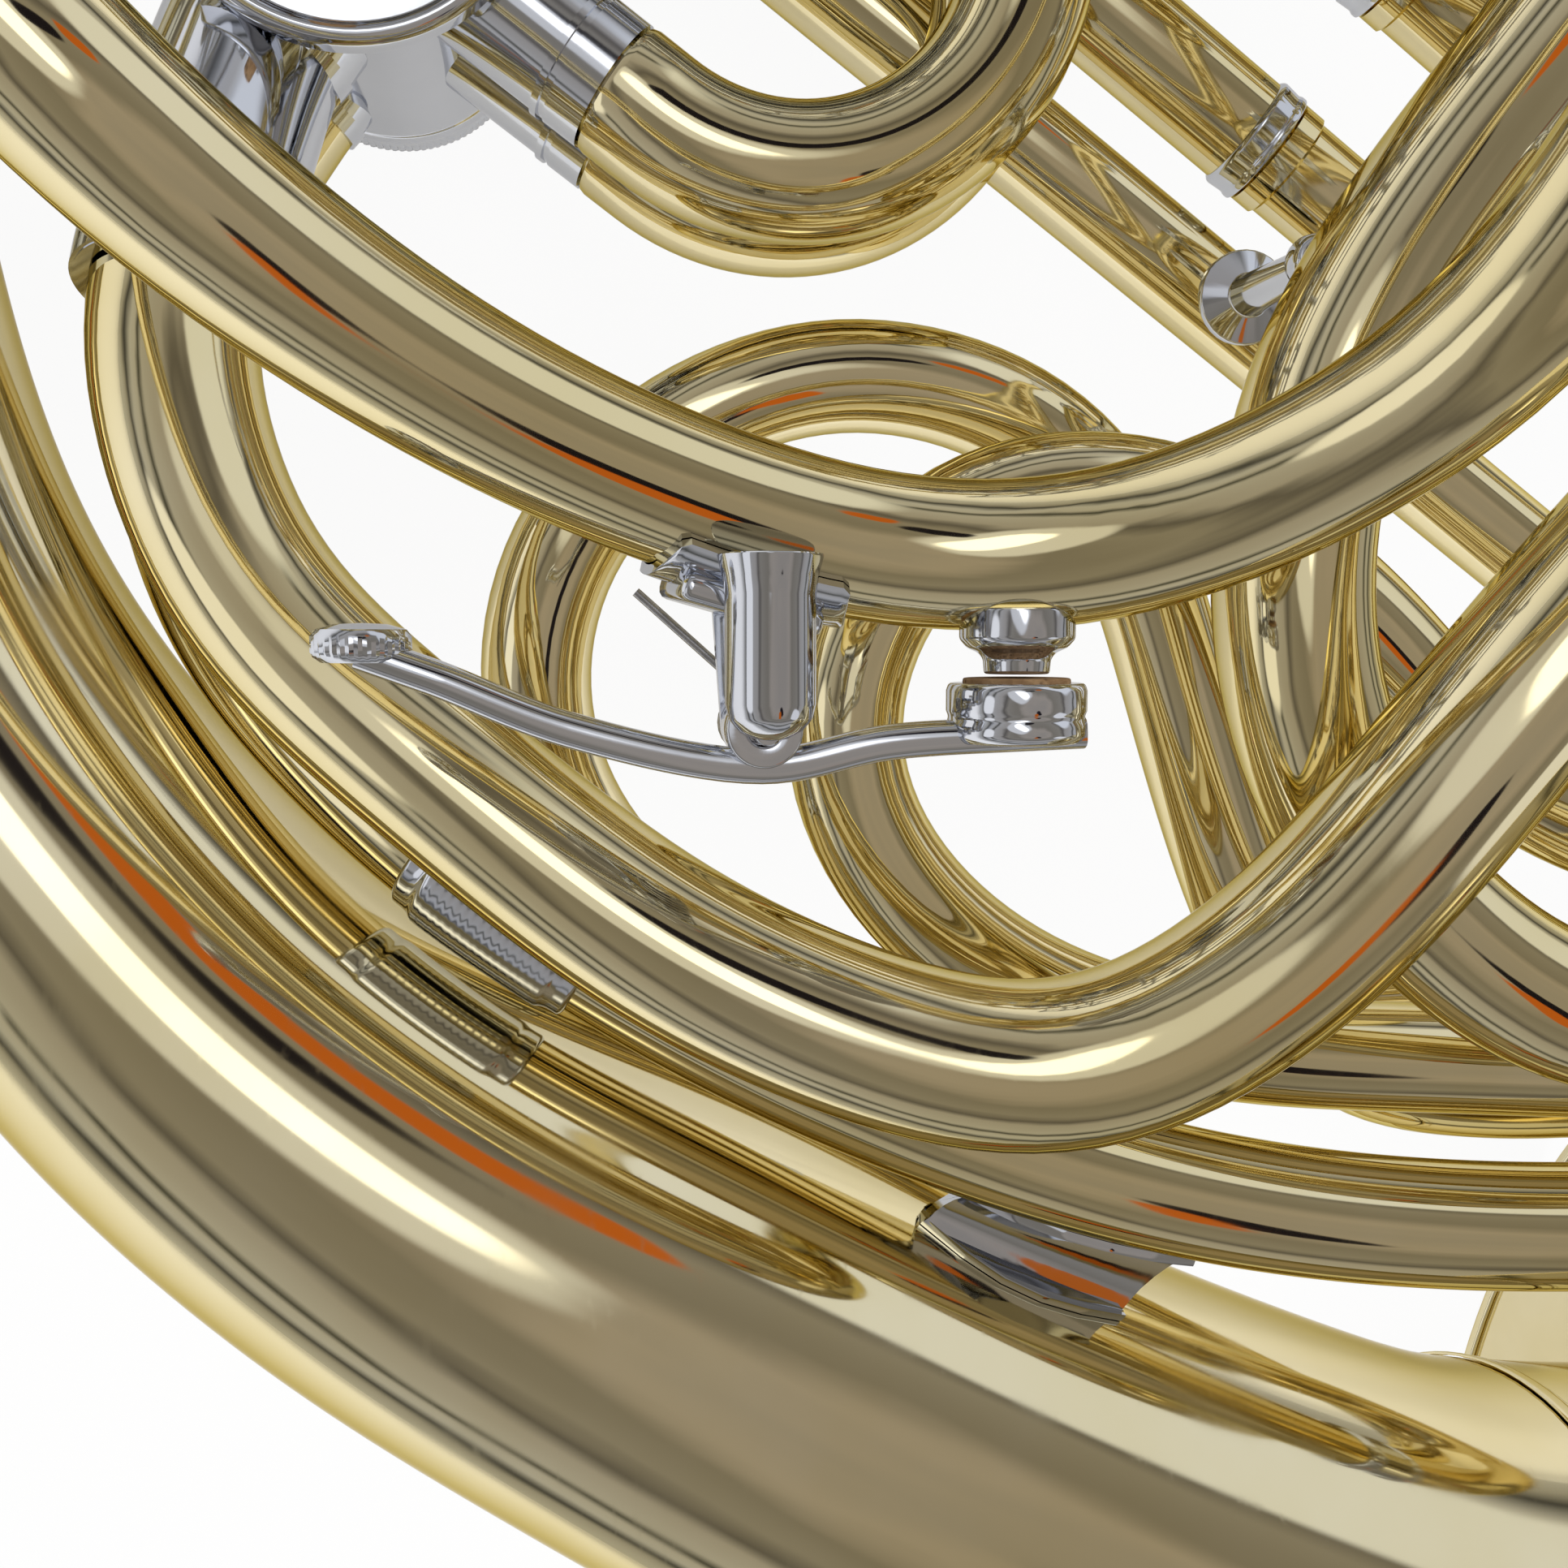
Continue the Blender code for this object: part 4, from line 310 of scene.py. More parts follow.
LOOP_LINE = relaxed(wound(
    [
        polar(0.0, DOWN_THE_ROW, PORT_REACH, -0.010), polar(0.0, DOWN_THE_ROW, PORT_REACH + 0.004, -0.010),
        (-0.1270, -0.010, -0.0095), (-0.1300, -0.030, -0.006), (-0.1225, -0.053, 0.003), (-0.106, -0.072, 0.010),
        (-0.091, -0.084, 0.014), (-0.062, -0.1015, 0.0175), (-0.029, -0.115, 0.020), (0.000, -0.1225, 0.020),
        (0.034, -0.126, 0.020), (0.062, -0.126, 0.019), (0.078, -0.1255, 0.013), (0.083, -0.124, 0.003),
        (0.079, -0.1215, -0.006), (0.064, -0.119, -0.0095), (0.038, -0.1165, -0.004),
        (0.014, -0.110, 0.001), (0.001, -0.0925, 0.004), (-0.0065, -0.073, 0.004), (-0.0115, -0.057, 0.004),
        (-0.0175, -0.041, 0.004), (-0.0300, -0.0290, 0.004), (-0.0530, -0.0243, 0.004), (-0.0740, -0.0325, 0.004),
        (-0.0855, -0.046, 0.003), (-0.0885, -0.064, 0.000), (-0.080, -0.084, -0.006), (-0.055, -0.101, -0.011),
        (-0.020, -0.108, -0.0155), (0.030, -0.106, -0.0225), (0.070, -0.105, -0.020), (0.098, -0.105, -0.012),
        (0.107, -0.106, -0.001), (0.102, -0.108, 0.010), (0.088, -0.109, 0.0165), (0.055, -0.1075, 0.0180),
        (0.020, -0.1055, 0.0175), (-0.012, -0.1025, 0.017), (-0.0358, -0.0936, 0.018), (-0.0505, -0.079, 0.018),
        (-0.0545, -0.0635, 0.018), (-0.0450, -0.0442, 0.018), (-0.0275, -0.0385, 0.018), (-0.008, -0.0430, 0.018),
        (0.010, -0.0560, 0.0165), (0.028, -0.0720, 0.012), (0.052, -0.0820, 0.008), (0.078, -0.0850, 0.010),
        (0.091, -0.0862, 0.0225), (0.078, -0.0890, 0.0355), (0.050, -0.0960, 0.037), (0.0235, -0.0960, 0.036),
        (0.001, -0.0800, 0.035), (-0.0095, -0.0610, 0.036), (-0.0105, -0.0420, 0.036), (-0.0055, -0.0250, 0.036),
        (0.0130, 0.0010, 0.036), (0.032, 0.0220, 0.034), (0.057, 0.0360, 0.026), (0.083, 0.0320, 0.013),
        (0.101, 0.0110, 0.002), (0.107, -0.0180, -0.008), (0.1085, -0.042, -0.0145), (0.108, -0.057, -0.0165),
        (0.1033, -0.0673, -0.0170), (0.092, -0.0720, -0.0170), (0.0826, -0.0689, -0.0170),
        at(0.185, FEED_ROW, LOWER_PORT), at(0.160, FEED_ROW, LOWER_PORT), at(0.090, FEED_ROW, LOWER_PORT),
        at(0.020, FEED_ROW, LOWER_PORT), at(0.013, FEED_ROW + 0.0004, LOWER_PORT),
        at(0.0041, FEED_ROW + 0.0041, LOWER_PORT), at(0.0004, FEED_ROW + 0.013, LOWER_PORT),
        polar(VALVE_ROWS[2], DOWN_THE_ROW, PORT_REACH + 0.008, LOWER_PORT),
        polar(VALVE_ROWS[2], DOWN_THE_ROW, PORT_REACH, LOWER_PORT),
    ],
    [0.0075] * 14 + [0.0065] * 35 + [0.0067, 0.0072, 0.0078] + [0.0080] * 7
    + [0.0078, 0.0075, 0.0072, 0.0070, 0.0067] + [0.0065] * 12,
))
LOWER_BRANCH, ARCH_LOOP, RING_LOOP, SIDE_BOW, SLIDE_FEED = split(
    LOOP_LINE,
    [(0.083, -0.124, 0.001), (0.107, -0.106, 0.000), (0.064, -0.0925, 0.0363), (0.108, -0.050, -0.0155)],
)


# Making pieces

class Form:
    """Closed shells that make up one piece."""

    def __init__(self):
        self.bm = bmesh.new()

    def rings(self, loops, closed=False):
        """Joins rings of points, and closes the ends with caps unless the rings close on themselves."""
        made = [[self.bm.verts.new(point) for point in loop] for loop in loops]
        sides = len(made[0])
        pairs = list(zip(made, made[1:]))
        if closed:
            pairs.append((made[-1], made[0]))
        for low, high in pairs:
            for index in range(sides):
                after = (index + 1) % sides
                self.bm.faces.new((low[index], low[after], high[after], high[index]))
        if not closed:
            self.bm.faces.new(list(reversed(made[0])))
            self.bm.faces.new(made[-1])
        return self

    def sweep(self, stops, sides=40, bore=None):
        """A round tube along a run. With a bore, its far end is open to that depth, with that wall."""
        clean = [stops[0]]
        for spot, radius in stops[1:]:
            if (spot - clean[-1][0]).length > 1e-6 or abs(radius - clean[-1][1]) > 1e-6:
                clean.append((spot, radius))
        ways = []
        for index in range(len(clean)):
            before = clean[max(0, index - 1)][0]
            after = clean[min(len(clean) - 1, index + 1)][0]
            way = after - before
            ways.append(way.normalized() if way.length > 1e-9 else ways[-1])
        side = ways[0].orthogonal().normalized()
        frames = []
        last = ways[0]
        for way in ways:
            side = last.rotation_difference(way) @ side
            side = (side - way * side.dot(way)).normalized()
            frames.append((side.copy(), way.cross(side)))
            last = way
        def ring(index, radius):
            centre = clean[index][0]
            across, over = frames[index]
            return [
                centre + (across * math.cos(math.tau * step / sides) + over * math.sin(math.tau * step / sides)) * radius
                for step in range(sides)
            ]
        loops = [ring(index, clean[index][1]) for index in range(len(clean))]
        if bore:
            depth, wall = bore
            left = 0.0
            for index in range(len(clean) - 1, 0, -1):
                loops.append(ring(index, clean[index][1] - wall))
                left += (clean[index][0] - clean[index - 1][0]).length
                if left > depth:
                    break
        return self.rings(loops)

    def turned(self, profile, start, way, sides=48, closed=False, soft=0.00025):
        """A turned shape from pairs of radius and height, with its corners broken."""
        shape = softened(profile, soft, closed)
        way = way.normalized()
        across = way.orthogonal().normalized()
        over = way.cross(across)
        loops = []
        for radius, height in shape:
            radius = max(radius, 0.00002)
            loops.append([
                start + way * height
                + (across * math.cos(math.tau * step / sides) + over * math.sin(math.tau * step / sides)) * radius
                for step in range(sides)
            ])
        return self.rings(loops, closed)

    def bar(self, start, end, radius, sides=24, soft=0.0003):
        """A round bar with broken edges."""
        length = (end - start).length
        return self.turned([(0.0, 0.0), (radius, 0.0), (radius, length), (0.0, length)], start, end - start, sides,
                           soft=min(soft, radius * 0.4))

    def slab(self, centre, along, across, size, soft=0.0004, crown=0.0):
        """A rounded block, with its top face crowned."""
        part = bmesh.new()
        bmesh.ops.create_cube(part, size=1.0)
        bmesh.ops.scale(part, verts=part.verts, vec=size)
        bmesh.ops.bevel(part, geom=part.edges[:] + part.verts[:], offset=soft, segments=3, profile=0.5,
                        affect="EDGES", clamp_overlap=True)
        if crown:
            bmesh.ops.subdivide_edges(part, edges=part.edges[:], cuts=3, use_grid_fill=True)
            for vert in part.verts:
                away = (vert.co.x / size[0]) ** 2 + (vert.co.y / size[1]) ** 2
                vert.co.z += crown * (0.5 - 2.0 * away)
        first = along.normalized()
        third = first.cross(across).normalized()
        second = third.cross(first)
        turn = Matrix((first, second, third)).transposed().to_4x4()
        bmesh.ops.transform(part, matrix=Matrix.Translation(centre) @ turn, verts=part.verts)
        mesh = bpy.data.meshes.new("slab")
        part.to_mesh(mesh)
        part.free()
        self.bm.from_mesh(mesh)
        bpy.data.meshes.remove(mesh)
        return self

    def made(self, name, finish, body="horn", stands_for=()):
        """Finishes the piece: laid down, shaded, given its metal, and tied to what it moves with."""
        bmesh.ops.recalc_face_normals(self.bm, faces=self.bm.faces)
        mesh = bpy.data.meshes.new(name)
        self.bm.to_mesh(mesh)
        self.bm.free()
        mesh.transform(LAY)
        mesh.shade_smooth()
        mesh.set_sharp_from_angle(angle=math.radians(32.0))
        piece = bpy.data.objects.new(name, mesh)
        bpy.context.scene.collection.objects.link(piece)
        material, slot = finish
        mesh.materials.append(material)
        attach(piece, body)
        if stands_for:
            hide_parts(*stands_for)
        return piece


def softened(profile, amount, closed):
    """A profile with its sharp corners rounded a little."""
    points = [Vector((radius, height)) for radius, height in profile]
    count = len(points)
    made = []
    for index, point in enumerate(points):
        if not closed and index in (0, count - 1):
            made.append(point)
            continue
        before = points[index - 1]
        after = points[(index + 1) % count]
        arriving = point - before
        leaving = after - point
        if arriving.length < 1e-7 or leaving.length < 1e-7 or arriving.angle(leaving) < math.radians(25.0):
            made.append(point)
            continue
        reach = min(amount, arriving.length * 0.45, leaving.length * 0.45)
        low = point - arriving.normalized() * reach
        high = point + leaving.normalized() * reach
        for share in (0.0, 0.33, 0.67, 1.0):
            made.append(low * (1.0 - share) ** 2 + point * 2.0 * share * (1.0 - share) + high * share ** 2)
    return [(point.x, point.y) for point in made]


# Metals and cork

class Socket:
    """A shader value that takes part in sums."""

    def __init__(self, tree, link):
        self.tree = tree
        self.link = link

    def _sum(self, operation, first, second):
        node = self.tree.nodes.new("ShaderNodeMath")
        node.operation = operation
        for slot, value in zip(node.inputs, (first, second)):
            if isinstance(value, Socket):
                self.tree.links.new(value.link, slot)
            else:
                slot.default_value = value
        return Socket(self.tree, node.outputs[0])

    def __add__(self, other):
        return self._sum("ADD", self, other)

    def __radd__(self, other):
        return self._sum("ADD", other, self)

    def __sub__(self, other):
        return self._sum("SUBTRACT", self, other)

    def __rsub__(self, other):
        return self._sum("SUBTRACT", other, self)

    def __mul__(self, other):
        return self._sum("MULTIPLY", self, other)

    def __rmul__(self, other):
        return self._sum("MULTIPLY", other, self)


class Finish:
    """One material, and the nodes it is made of."""

    def __init__(self, name, metallic=1.0):
        self.material = bpy.data.materials.new(name)
        self.material.use_nodes = True
        self.tree = self.material.node_tree
        self.shader = self.tree.nodes["Principled BSDF"]
        self.shader.inputs["Metallic"].default_value = metallic
        self.place = self.node("ShaderNodeTexCoord").outputs["Object"]

    def node(self, kind, settings=None, **values):
        """A node with its settings, and the values or links of its sockets."""
        made = self.tree.nodes.new(kind)
        for key, value in (settings or {}).items():
            if key == "stops":
                ramp = made.color_ramp
                while len(ramp.elements) < len(value):
                    ramp.elements.new(0.5)
                for element, (place, colour) in zip(ramp.elements, value):
                    element.position = place
                    element.color = (*colour, 1.0) if isinstance(colour, tuple) else (colour,) * 3 + (1.0,)
            else:
                setattr(made, key, value)
        for key, value in values.items():
            self.feed(made.inputs[key.replace("_", " ")], value)
        return made

    def feed(self, slot, value):
        """Gives a socket a value or a link."""
        if isinstance(value, Socket):
            value = value.link
        if isinstance(value, bpy.types.NodeSocket):
            self.tree.links.new(value, slot)
        else:
            slot.default_value = value

    def noise(self, scale, detail=3.0, stretch_by=None):
        """A noise over the surface."""
        place = self.place
        if stretch_by:
            mapping = self.node("ShaderNodeMapping", Vector=self.place)
            mapping.inputs["Scale"].default_value = stretch_by
            place = mapping.outputs[0]
        made = self.node("ShaderNodeTexNoise", Vector=place, Scale=scale, Detail=detail)
        return Socket(self.tree, made.outputs["Fac"])

    def ramp(self, value, stops):
        """A value passed through a ramp."""
        return self.node("ShaderNodeValToRGB", {"stops": stops}, Fac=value).outputs["Color"]

    def level(self, value, low, high):
        """A value spread between two limits and held there."""
        made = self.node("ShaderNodeMapRange", {"clamp": True}, Value=value)
        made.inputs["From Min"].default_value = low
        made.inputs["From Max"].default_value = high
        return Socket(self.tree, made.outputs["Result"])

    def blend(self, share, first, second):
        """Two colours mixed by a share."""
        made = self.node("ShaderNodeMix", {"data_type": "RGBA"})
        self.feed(made.inputs[0], share)
        self.feed(made.inputs[6], first)
        self.feed(made.inputs[7], second)
        return made.outputs[2]

    def bump(self, height, strength, distance):
        """Small relief on the surface."""
        made = self.node("ShaderNodeBump", Height=height, Strength=strength, Distance=distance)
        return made.outputs["Normal"]


def polished(name, colour, deep, edge, roughness, wear, coat=0.0, ripple=0.00003):
    """A polished metal: faint ripples left by the buffing wheel, hairlines, finger smudges and slight toning."""
    finish = Finish(name)
    toning = finish.level(finish.noise(26.0, 4.0), 0.35, 0.70)
    finish.feed(finish.shader.inputs["Base Color"], finish.blend(toning, (*colour, 1.0), (*deep, 1.0)))
    smudge = finish.level(finish.noise(60.0, 5.0), 0.50, 0.78)
    hairline = finish.level(finish.noise(900.0, 2.0, (1.0, 0.04, 1.0)), 0.60, 0.80)
    finish.feed(finish.shader.inputs["Roughness"], roughness + smudge * wear + hairline * (wear * 0.5))
    waves = finish.noise(40.0, 1.0) + hairline * 0.003
    finish.feed(finish.shader.inputs["Normal"], finish.bump(waves, 0.25, ripple * 6.0))
    finish.shader.inputs["Specular Tint"].default_value = (*edge, 1.0)
    if coat:
        finish.shader.inputs["Coat Weight"].default_value = coat
        finish.shader.inputs["Coat Roughness"].default_value = 0.03
    return finish.material


def brushed(name, colour, roughness):
    """Plain steel with fine turning marks."""
    finish = Finish(name)
    lines = finish.noise(1400.0, 2.0, (1.0, 1.0, 0.08))
    finish.feed(finish.shader.inputs["Base Color"],
                finish.blend(finish.level(lines, 0.3, 0.7), (*colour, 1.0), tuple(c * 0.8 for c in colour) + (1.0,)))
    finish.feed(finish.shader.inputs["Roughness"], roughness + lines * 0.15)
    finish.feed(finish.shader.inputs["Normal"], finish.bump(lines, 0.15, 0.00005))
    return finish.material


def cork_sheet(name):
    """Cork: tan grains with dark pores."""
    finish = Finish(name, metallic=0.0)
    cells = finish.node("ShaderNodeTexVoronoi", Vector=finish.place, Scale=1500.0)
    grain = Socket(finish.tree, cells.outputs["Distance"])
    tan = finish.blend(finish.level(finish.noise(700.0, 4.0), 0.3, 0.7), (0.56, 0.36, 0.19, 1.0),
                       (0.36, 0.21, 0.10, 1.0))
    finish.feed(finish.shader.inputs["Base Color"], finish.blend(finish.level(grain, 0.0, 0.35), (0.10, 0.05, 0.02, 1.0),
                                                                 tan))
    finish.feed(finish.shader.inputs["Roughness"], 0.78 + grain * 0.2)
    finish.feed(finish.shader.inputs["Normal"], finish.bump(grain, 0.6, 0.0003))
    return finish.material


BRASS = (polished("lacquered_brass_tube", (0.86, 0.765, 0.50), (0.80, 0.69, 0.39), (0.60, 0.50, 0.18), 0.045, 0.07,
                  0.10), "lacquered_brass")
BELL_BRASS = (polished("lacquered_brass_bell", (0.86, 0.775, 0.53), (0.81, 0.71, 0.43), (0.60, 0.50, 0.20), 0.055,
                       0.10, 0.12), "lacquered_brass")
NICKEL = (polished("polished_nickel_silver", (0.70, 0.72, 0.77), (0.62, 0.64, 0.69), (0.80, 0.80, 0.82), 0.06, 0.10),
          "nickel_silver")
STEEL = (brushed("plain_steel", (0.50, 0.50, 0.52), 0.22), "spring_steel")
CORK = (cork_sheet("natural_cork"), "cork")


# Bell

def bell_pieces():
    """Tail, flare and rim."""
    Form().sweep(BELL_TAIL, 96, bore=(0.36, 0.0012)).made("horn_bell_tail", BELL_BRASS, stands_for=["bell_tail"])
    edge = BELL_MOUTH_RADIUS - RIM_RADIUS
    growth = (edge / BELL_THROAT_RADIUS) ** 2.0
    beyond = BELL_LENGTH / (growth - 1.0)
    scale = edge * math.sqrt(beyond)
    outer = []
    inner = []
    count = 64
    for step in range(count + 1):
        depth = BELL_LENGTH * (1.0 - (1.0 - step / count) ** 2.2)
        radius = scale / math.sqrt(BELL_LENGTH + beyond - depth)
        lean = math.atan(radius ** 3.0 / (2.0 * scale ** 2.0))
        outer.append((radius, depth))
        inner.append((radius - BELL_WALL * math.cos(lean), depth + BELL_WALL * math.sin(lean)))
    bead = []
    for step in range(20):
        angle = math.tau * step / 20.0
        bead.append((BELL_MOUTH_RADIUS - RIM_RADIUS + RIM_RADIUS * math.cos(angle),
                     BELL_LENGTH + RIM_RADIUS * math.sin(angle)))
    form = Form()
    form.turned(list(reversed(outer)) + inner, FLARE_START, FLARE_AXIS, 160, closed=True, soft=0.0)
    form.turned(bead, FLARE_START, FLARE_AXIS, 160, closed=True, soft=0.0)
    form.made("horn_bell_flare", BELL_BRASS, stands_for=["bell_flare"])
    garland = Form()
    garland.sweep(widened(stretch(BELL_TAIL, 0.0, 0.012), 0.0006), 64)
    garland.made("bell_tail_ferrule", NICKEL)
    seam = [(FLARE_START + FLARE_AXIS * (height - 0.004), BELL_THROAT_RADIUS * (1.0 + height) + lift)
            for height, lift in ((0.0, 0.0001), (0.0004, 0.0003), (0.0026, 0.0003), (0.0030, 0.0001))]
    profile = [(radius, (point - FLARE_START).dot(FLARE_AXIS)) for point, radius in seam]
    low, high = profile[0][1], profile[-1][1]
    ring = profile + [(BELL_THROAT_RADIUS + 0.0002, high), (BELL_THROAT_RADIUS - 0.0002, low)]
    Form().turned(ring, FLARE_START, FLARE_AXIS, 96, closed=True).made("bell_seam_ring", BELL_BRASS)


def strut(form, first, hint, second, waist=0.0016, foot=0.0040):
    """A turned stay between two runs, with a flanged foot on each and a bead in the middle."""
    start, start_radius, _, _ = nearest(first, Vector(hint))
    for _ in range(12):
        end, end_radius, _, _ = nearest(second, start)
        start, start_radius, _, _ = nearest(first, end)
    way = (end - start).normalized()
    low = start + way * (start_radius - 0.0012)
    length = (end - start).length - start_radius - end_radius + 0.0017
    profile = [(0.0, 0.0), (foot, 0.0), (foot, 0.0018), (waist * 1.3, 0.0030)]
    if length > 0.012:
        middle = length / 2.0
        for step in range(9):
            angle = math.pi * step / 8.0
            profile.append((waist + 0.0011 * math.sin(angle), middle - 0.0020 * math.cos(angle)))
    profile += [(waist * 1.3, length - 0.0024), (foot, length - 0.0012), (foot, length - 0.0001), (0.0, length)]
    form.turned(profile, low, way, 32)


def long_tubes():
    """The wound tubes and what is soldered to them."""
    Form().sweep(LEADPIPE, 56).made("horn_leadpipe", BRASS, stands_for=["leadpipe"])
    Form().sweep(BRANCH, 64).made("horn_branch_tube", BRASS, stands_for=["branch_tube"])
    Form().sweep(LOWER_BRANCH, 56).made("horn_lower_branch", BRASS, stands_for=["lower_branch"])
    Form().sweep(ARCH_LOOP, 48).made("horn_arch_loop", BRASS, stands_for=["arch_loop"])
    Form().sweep(RING_LOOP, 48).made("horn_ring_loop", BRASS, stands_for=["ring_loop"])
    Form().sweep(SIDE_BOW, 56).made("horn_side_bow", BRASS, stands_for=["side_bow"])
    Form().sweep(SLIDE_FEED, 40).made("horn_slide_feed_tube", BRASS, stands_for=["slide_feed_tube"])
    sleeve = [(point, 0.0095) for point, _ in BRANCH_SLEEVE]
    length = sum((b[0] - a[0]).length for a, b in zip(sleeve, sleeve[1:]))
    form = Form().sweep(sleeve, 64)
    form.sweep(widened(stretch(sleeve, length - 0.0030, length - 0.0001), 0.0004), 64)
    form.made("horn_branch_sleeve", NICKEL, stands_for=["branch_sleeve"])

    ribs = [0.14 + 0.045 * index for index in range(17)]
    ribbed = Form().sweep(beads(LOWER_BRANCH, (-0.0908, -0.0857, 0.0142), 0.022, 0.0007, ribs), 56)
    ribbed.made("ribbed_branch_ferrule", NICKEL, stands_for=["branch_ferrule"])
    rings = Form()
    rings.sweep(beads(LOWER_BRANCH, (0.050, -0.126, 0.020), 0.012, 0.0006, (0.12, 0.88)), 56)
    rings.sweep(beads(BRANCH, (0.045, -0.010, 0.058), 0.012, 0.0006, (0.12, 0.88)), 56)
    rings.sweep(beads(SIDE_BOW, (0.020, 0.009, 0.036), 0.010, 0.0006, (0.14, 0.86)), 56)
    rings.sweep(beads(SLIDE_FEED, at(0.129, FEED_ROW, LOWER_PORT), 0.012, 0.0006, (0.12, 0.88)), 48)
    rings.sweep(beads(LEADPIPE, (-0.110, 0.183, 0.025), 0.014, 0.0006, (0.10, 0.90)), 48)
    rings.made("tube_ferrules", NICKEL)

    stays = Form()
    strut(stays, LEADPIPE, (-0.166, 0.046, 0.039), BELL_TAIL)
    strut(stays, SIDE_BOW, (0.004, -0.0116, 0.036), SLIDE_FEED, 0.0021, 0.0061)
    stays.made("turned_stays", NICKEL)
    leaf_brace()


def leaf_brace():
    """The leaf shaped bridge between the lower branch and the bell: a trough with raised edges round each tube."""
    centre, _, _, heading = nearest(LOWER_BRANCH, Vector((-0.0235, -0.1170, 0.020)))
    widths = (0.0010, 0.0032, 0.0045, 0.0048, 0.0042, 0.0030)
    count = 50
    loops = []
    for step in range(count + 1):
        share = step / count
        spot, radius, _, _ = nearest(LOWER_BRANCH, centre + heading * 0.0280 * (share - 0.5))
        other, far_radius, _, far_way = nearest(BELL_TAIL, spot)
        way = (other - spot).normalized()
        place = share * (len(widths) - 1)
        low_width = widths[min(int(place), len(widths) - 2)]
        high_width = widths[min(int(place), len(widths) - 2) + 1]
        flange = low_width + (high_width - low_width) * (place - min(int(place), len(widths) - 2))
        out = (way - heading * way.dot(heading)).normalized()
        side = out.cross(heading).normalized()
        far_out = -(way - far_way * way.dot(far_way)).normalized()
        far_side = side - far_out * side.dot(far_out)
        far_side = (far_side - far_way * far_side.dot(far_way)).normalized()

        def near_point(offset, lift):
            angle = offset / radius
            return spot + (out * math.cos(angle) + side * math.sin(angle)) * (radius + lift)

        def far_point(offset, lift):
            angle = offset / far_radius
            return other + (far_out * math.cos(angle) + far_side * math.sin(angle)) * (far_radius + lift)

        offsets = [flange * (1.0 - 2.0 * k / 10.0) for k in range(11)]
        ring = [near_point(-offset, 0.0001) for offset in offsets]
        web = min(0.0010, flange * 0.6)
        edges = [flange, flange * 0.97, flange * 0.7, web + 0.0006]
        for sign in (1.0, -1.0):
            near_side = [near_point(sign * offset, 0.0008 + 0.0004 * (number == 1)) for number, offset in enumerate(edges)]
            far_side_points = [far_point(sign * offset, 0.0008 + 0.0004 * (number == 1))
                               for number, offset in enumerate(edges)]
            middle = []
            for part in (0.14, 0.28, 0.5, 0.72, 0.86):
                base = near_point(0.0, 0.0008).lerp(far_point(0.0, 0.0008), part)
                middle.append(base + side * sign * (0.0006 + 0.0011 * abs(2.0 * part - 1.0) ** 2.5))
            walk = near_side + middle + list(reversed(far_side_points))
            if sign > 0.0:
                ring += walk + [far_point(offset, 0.0001) for offset in offsets]
            else:
                ring += list(reversed(walk))
        loops.append(ring)
    Form().rings(loops).made("leaf_brace", NICKEL, stands_for=["bell_brace"])


# Mouthpiece end

def mouth_end():
    """Receiver and mouthpiece."""
    start = LEADPIPE[0][0]
    way = (LEADPIPE[0][0] - LEADPIPE[1][0]).normalized()
    length = 0.048
    lap = 0.012
    receiver = [
        (0.0, 0.0), (0.0053, 0.0), (0.0056, 0.0008), (0.0056, 0.0022), (0.0053, 0.0030), (0.0056, length * 0.5),
        (0.0059, length * 0.80), (0.0066, length * 0.82), (0.0066, length * 0.85), (0.0060, length * 0.87),
        (0.0060, length * 0.93), (0.0069, length * 0.95), (0.0069, length), (0.0047, length),
        (0.0045, length - 0.021), (0.0, length - 0.021),
    ]
    Form().turned(receiver, start - way * lap, way, 56).made("horn_receiver", NICKEL,
                                                            stands_for=["mouthpiece_receiver"])
    mouth = start + way * (length - lap)
    cup = [
        (0.0018, 0.0), (0.0038, 0.0), (0.0042, 0.022), (0.0045, 0.028), (0.0052, 0.0300), (0.0052, 0.0312),
        (0.0047, 0.0325), (0.0050, 0.036), (0.0060, 0.044), (0.0074, 0.0485), (0.0088, 0.0530), (0.0099, 0.0580),
        (0.0106, 0.0630), (0.0111, 0.0660), (0.0121, 0.0683), (0.0127, 0.0698), (0.0127, 0.0712),
        (0.0121, 0.0723), (0.0110, 0.0726), (0.0098, 0.0724), (0.0091, 0.0716), (0.0087, 0.0700),
        (0.0080, 0.0640), (0.0066, 0.0570), (0.0048, 0.0500), (0.0033, 0.0450), (0.0022, 0.0410), (0.0018, 0.0380),
    ]
    Form().turned(cup, mouth - way * 0.020, way, 64, closed=True, soft=0.0004).made(
        "horn_mouthpiece", NICKEL, "mouthpiece_body", ["mouthpiece"])


# Valves

def stub(form, row, angle, w, radius):
    """A soldered boss on a casing with a small bead where the tube enters."""
    inner = polar(row, angle, CASING_RADIUS * 0.80, w)
    outer = polar(row, angle, STUB_REACH, w)
    form.sweep([(inner, radius + 0.0003), (outer, radius + 0.0003)], 40)
    lip = polar(row, angle, STUB_REACH + 0.0014, w)
    form.sweep([(outer - (lip - outer) * 0.4, radius + 0.0006), (lip, radius + 0.0004)], 40)


def link_ports(index):
    """The heights of a valve's two layers of passages."""
    return (UPPER_PORT, CHANGE_LOWER_PORT if index == 3 else LOWER_PORT)


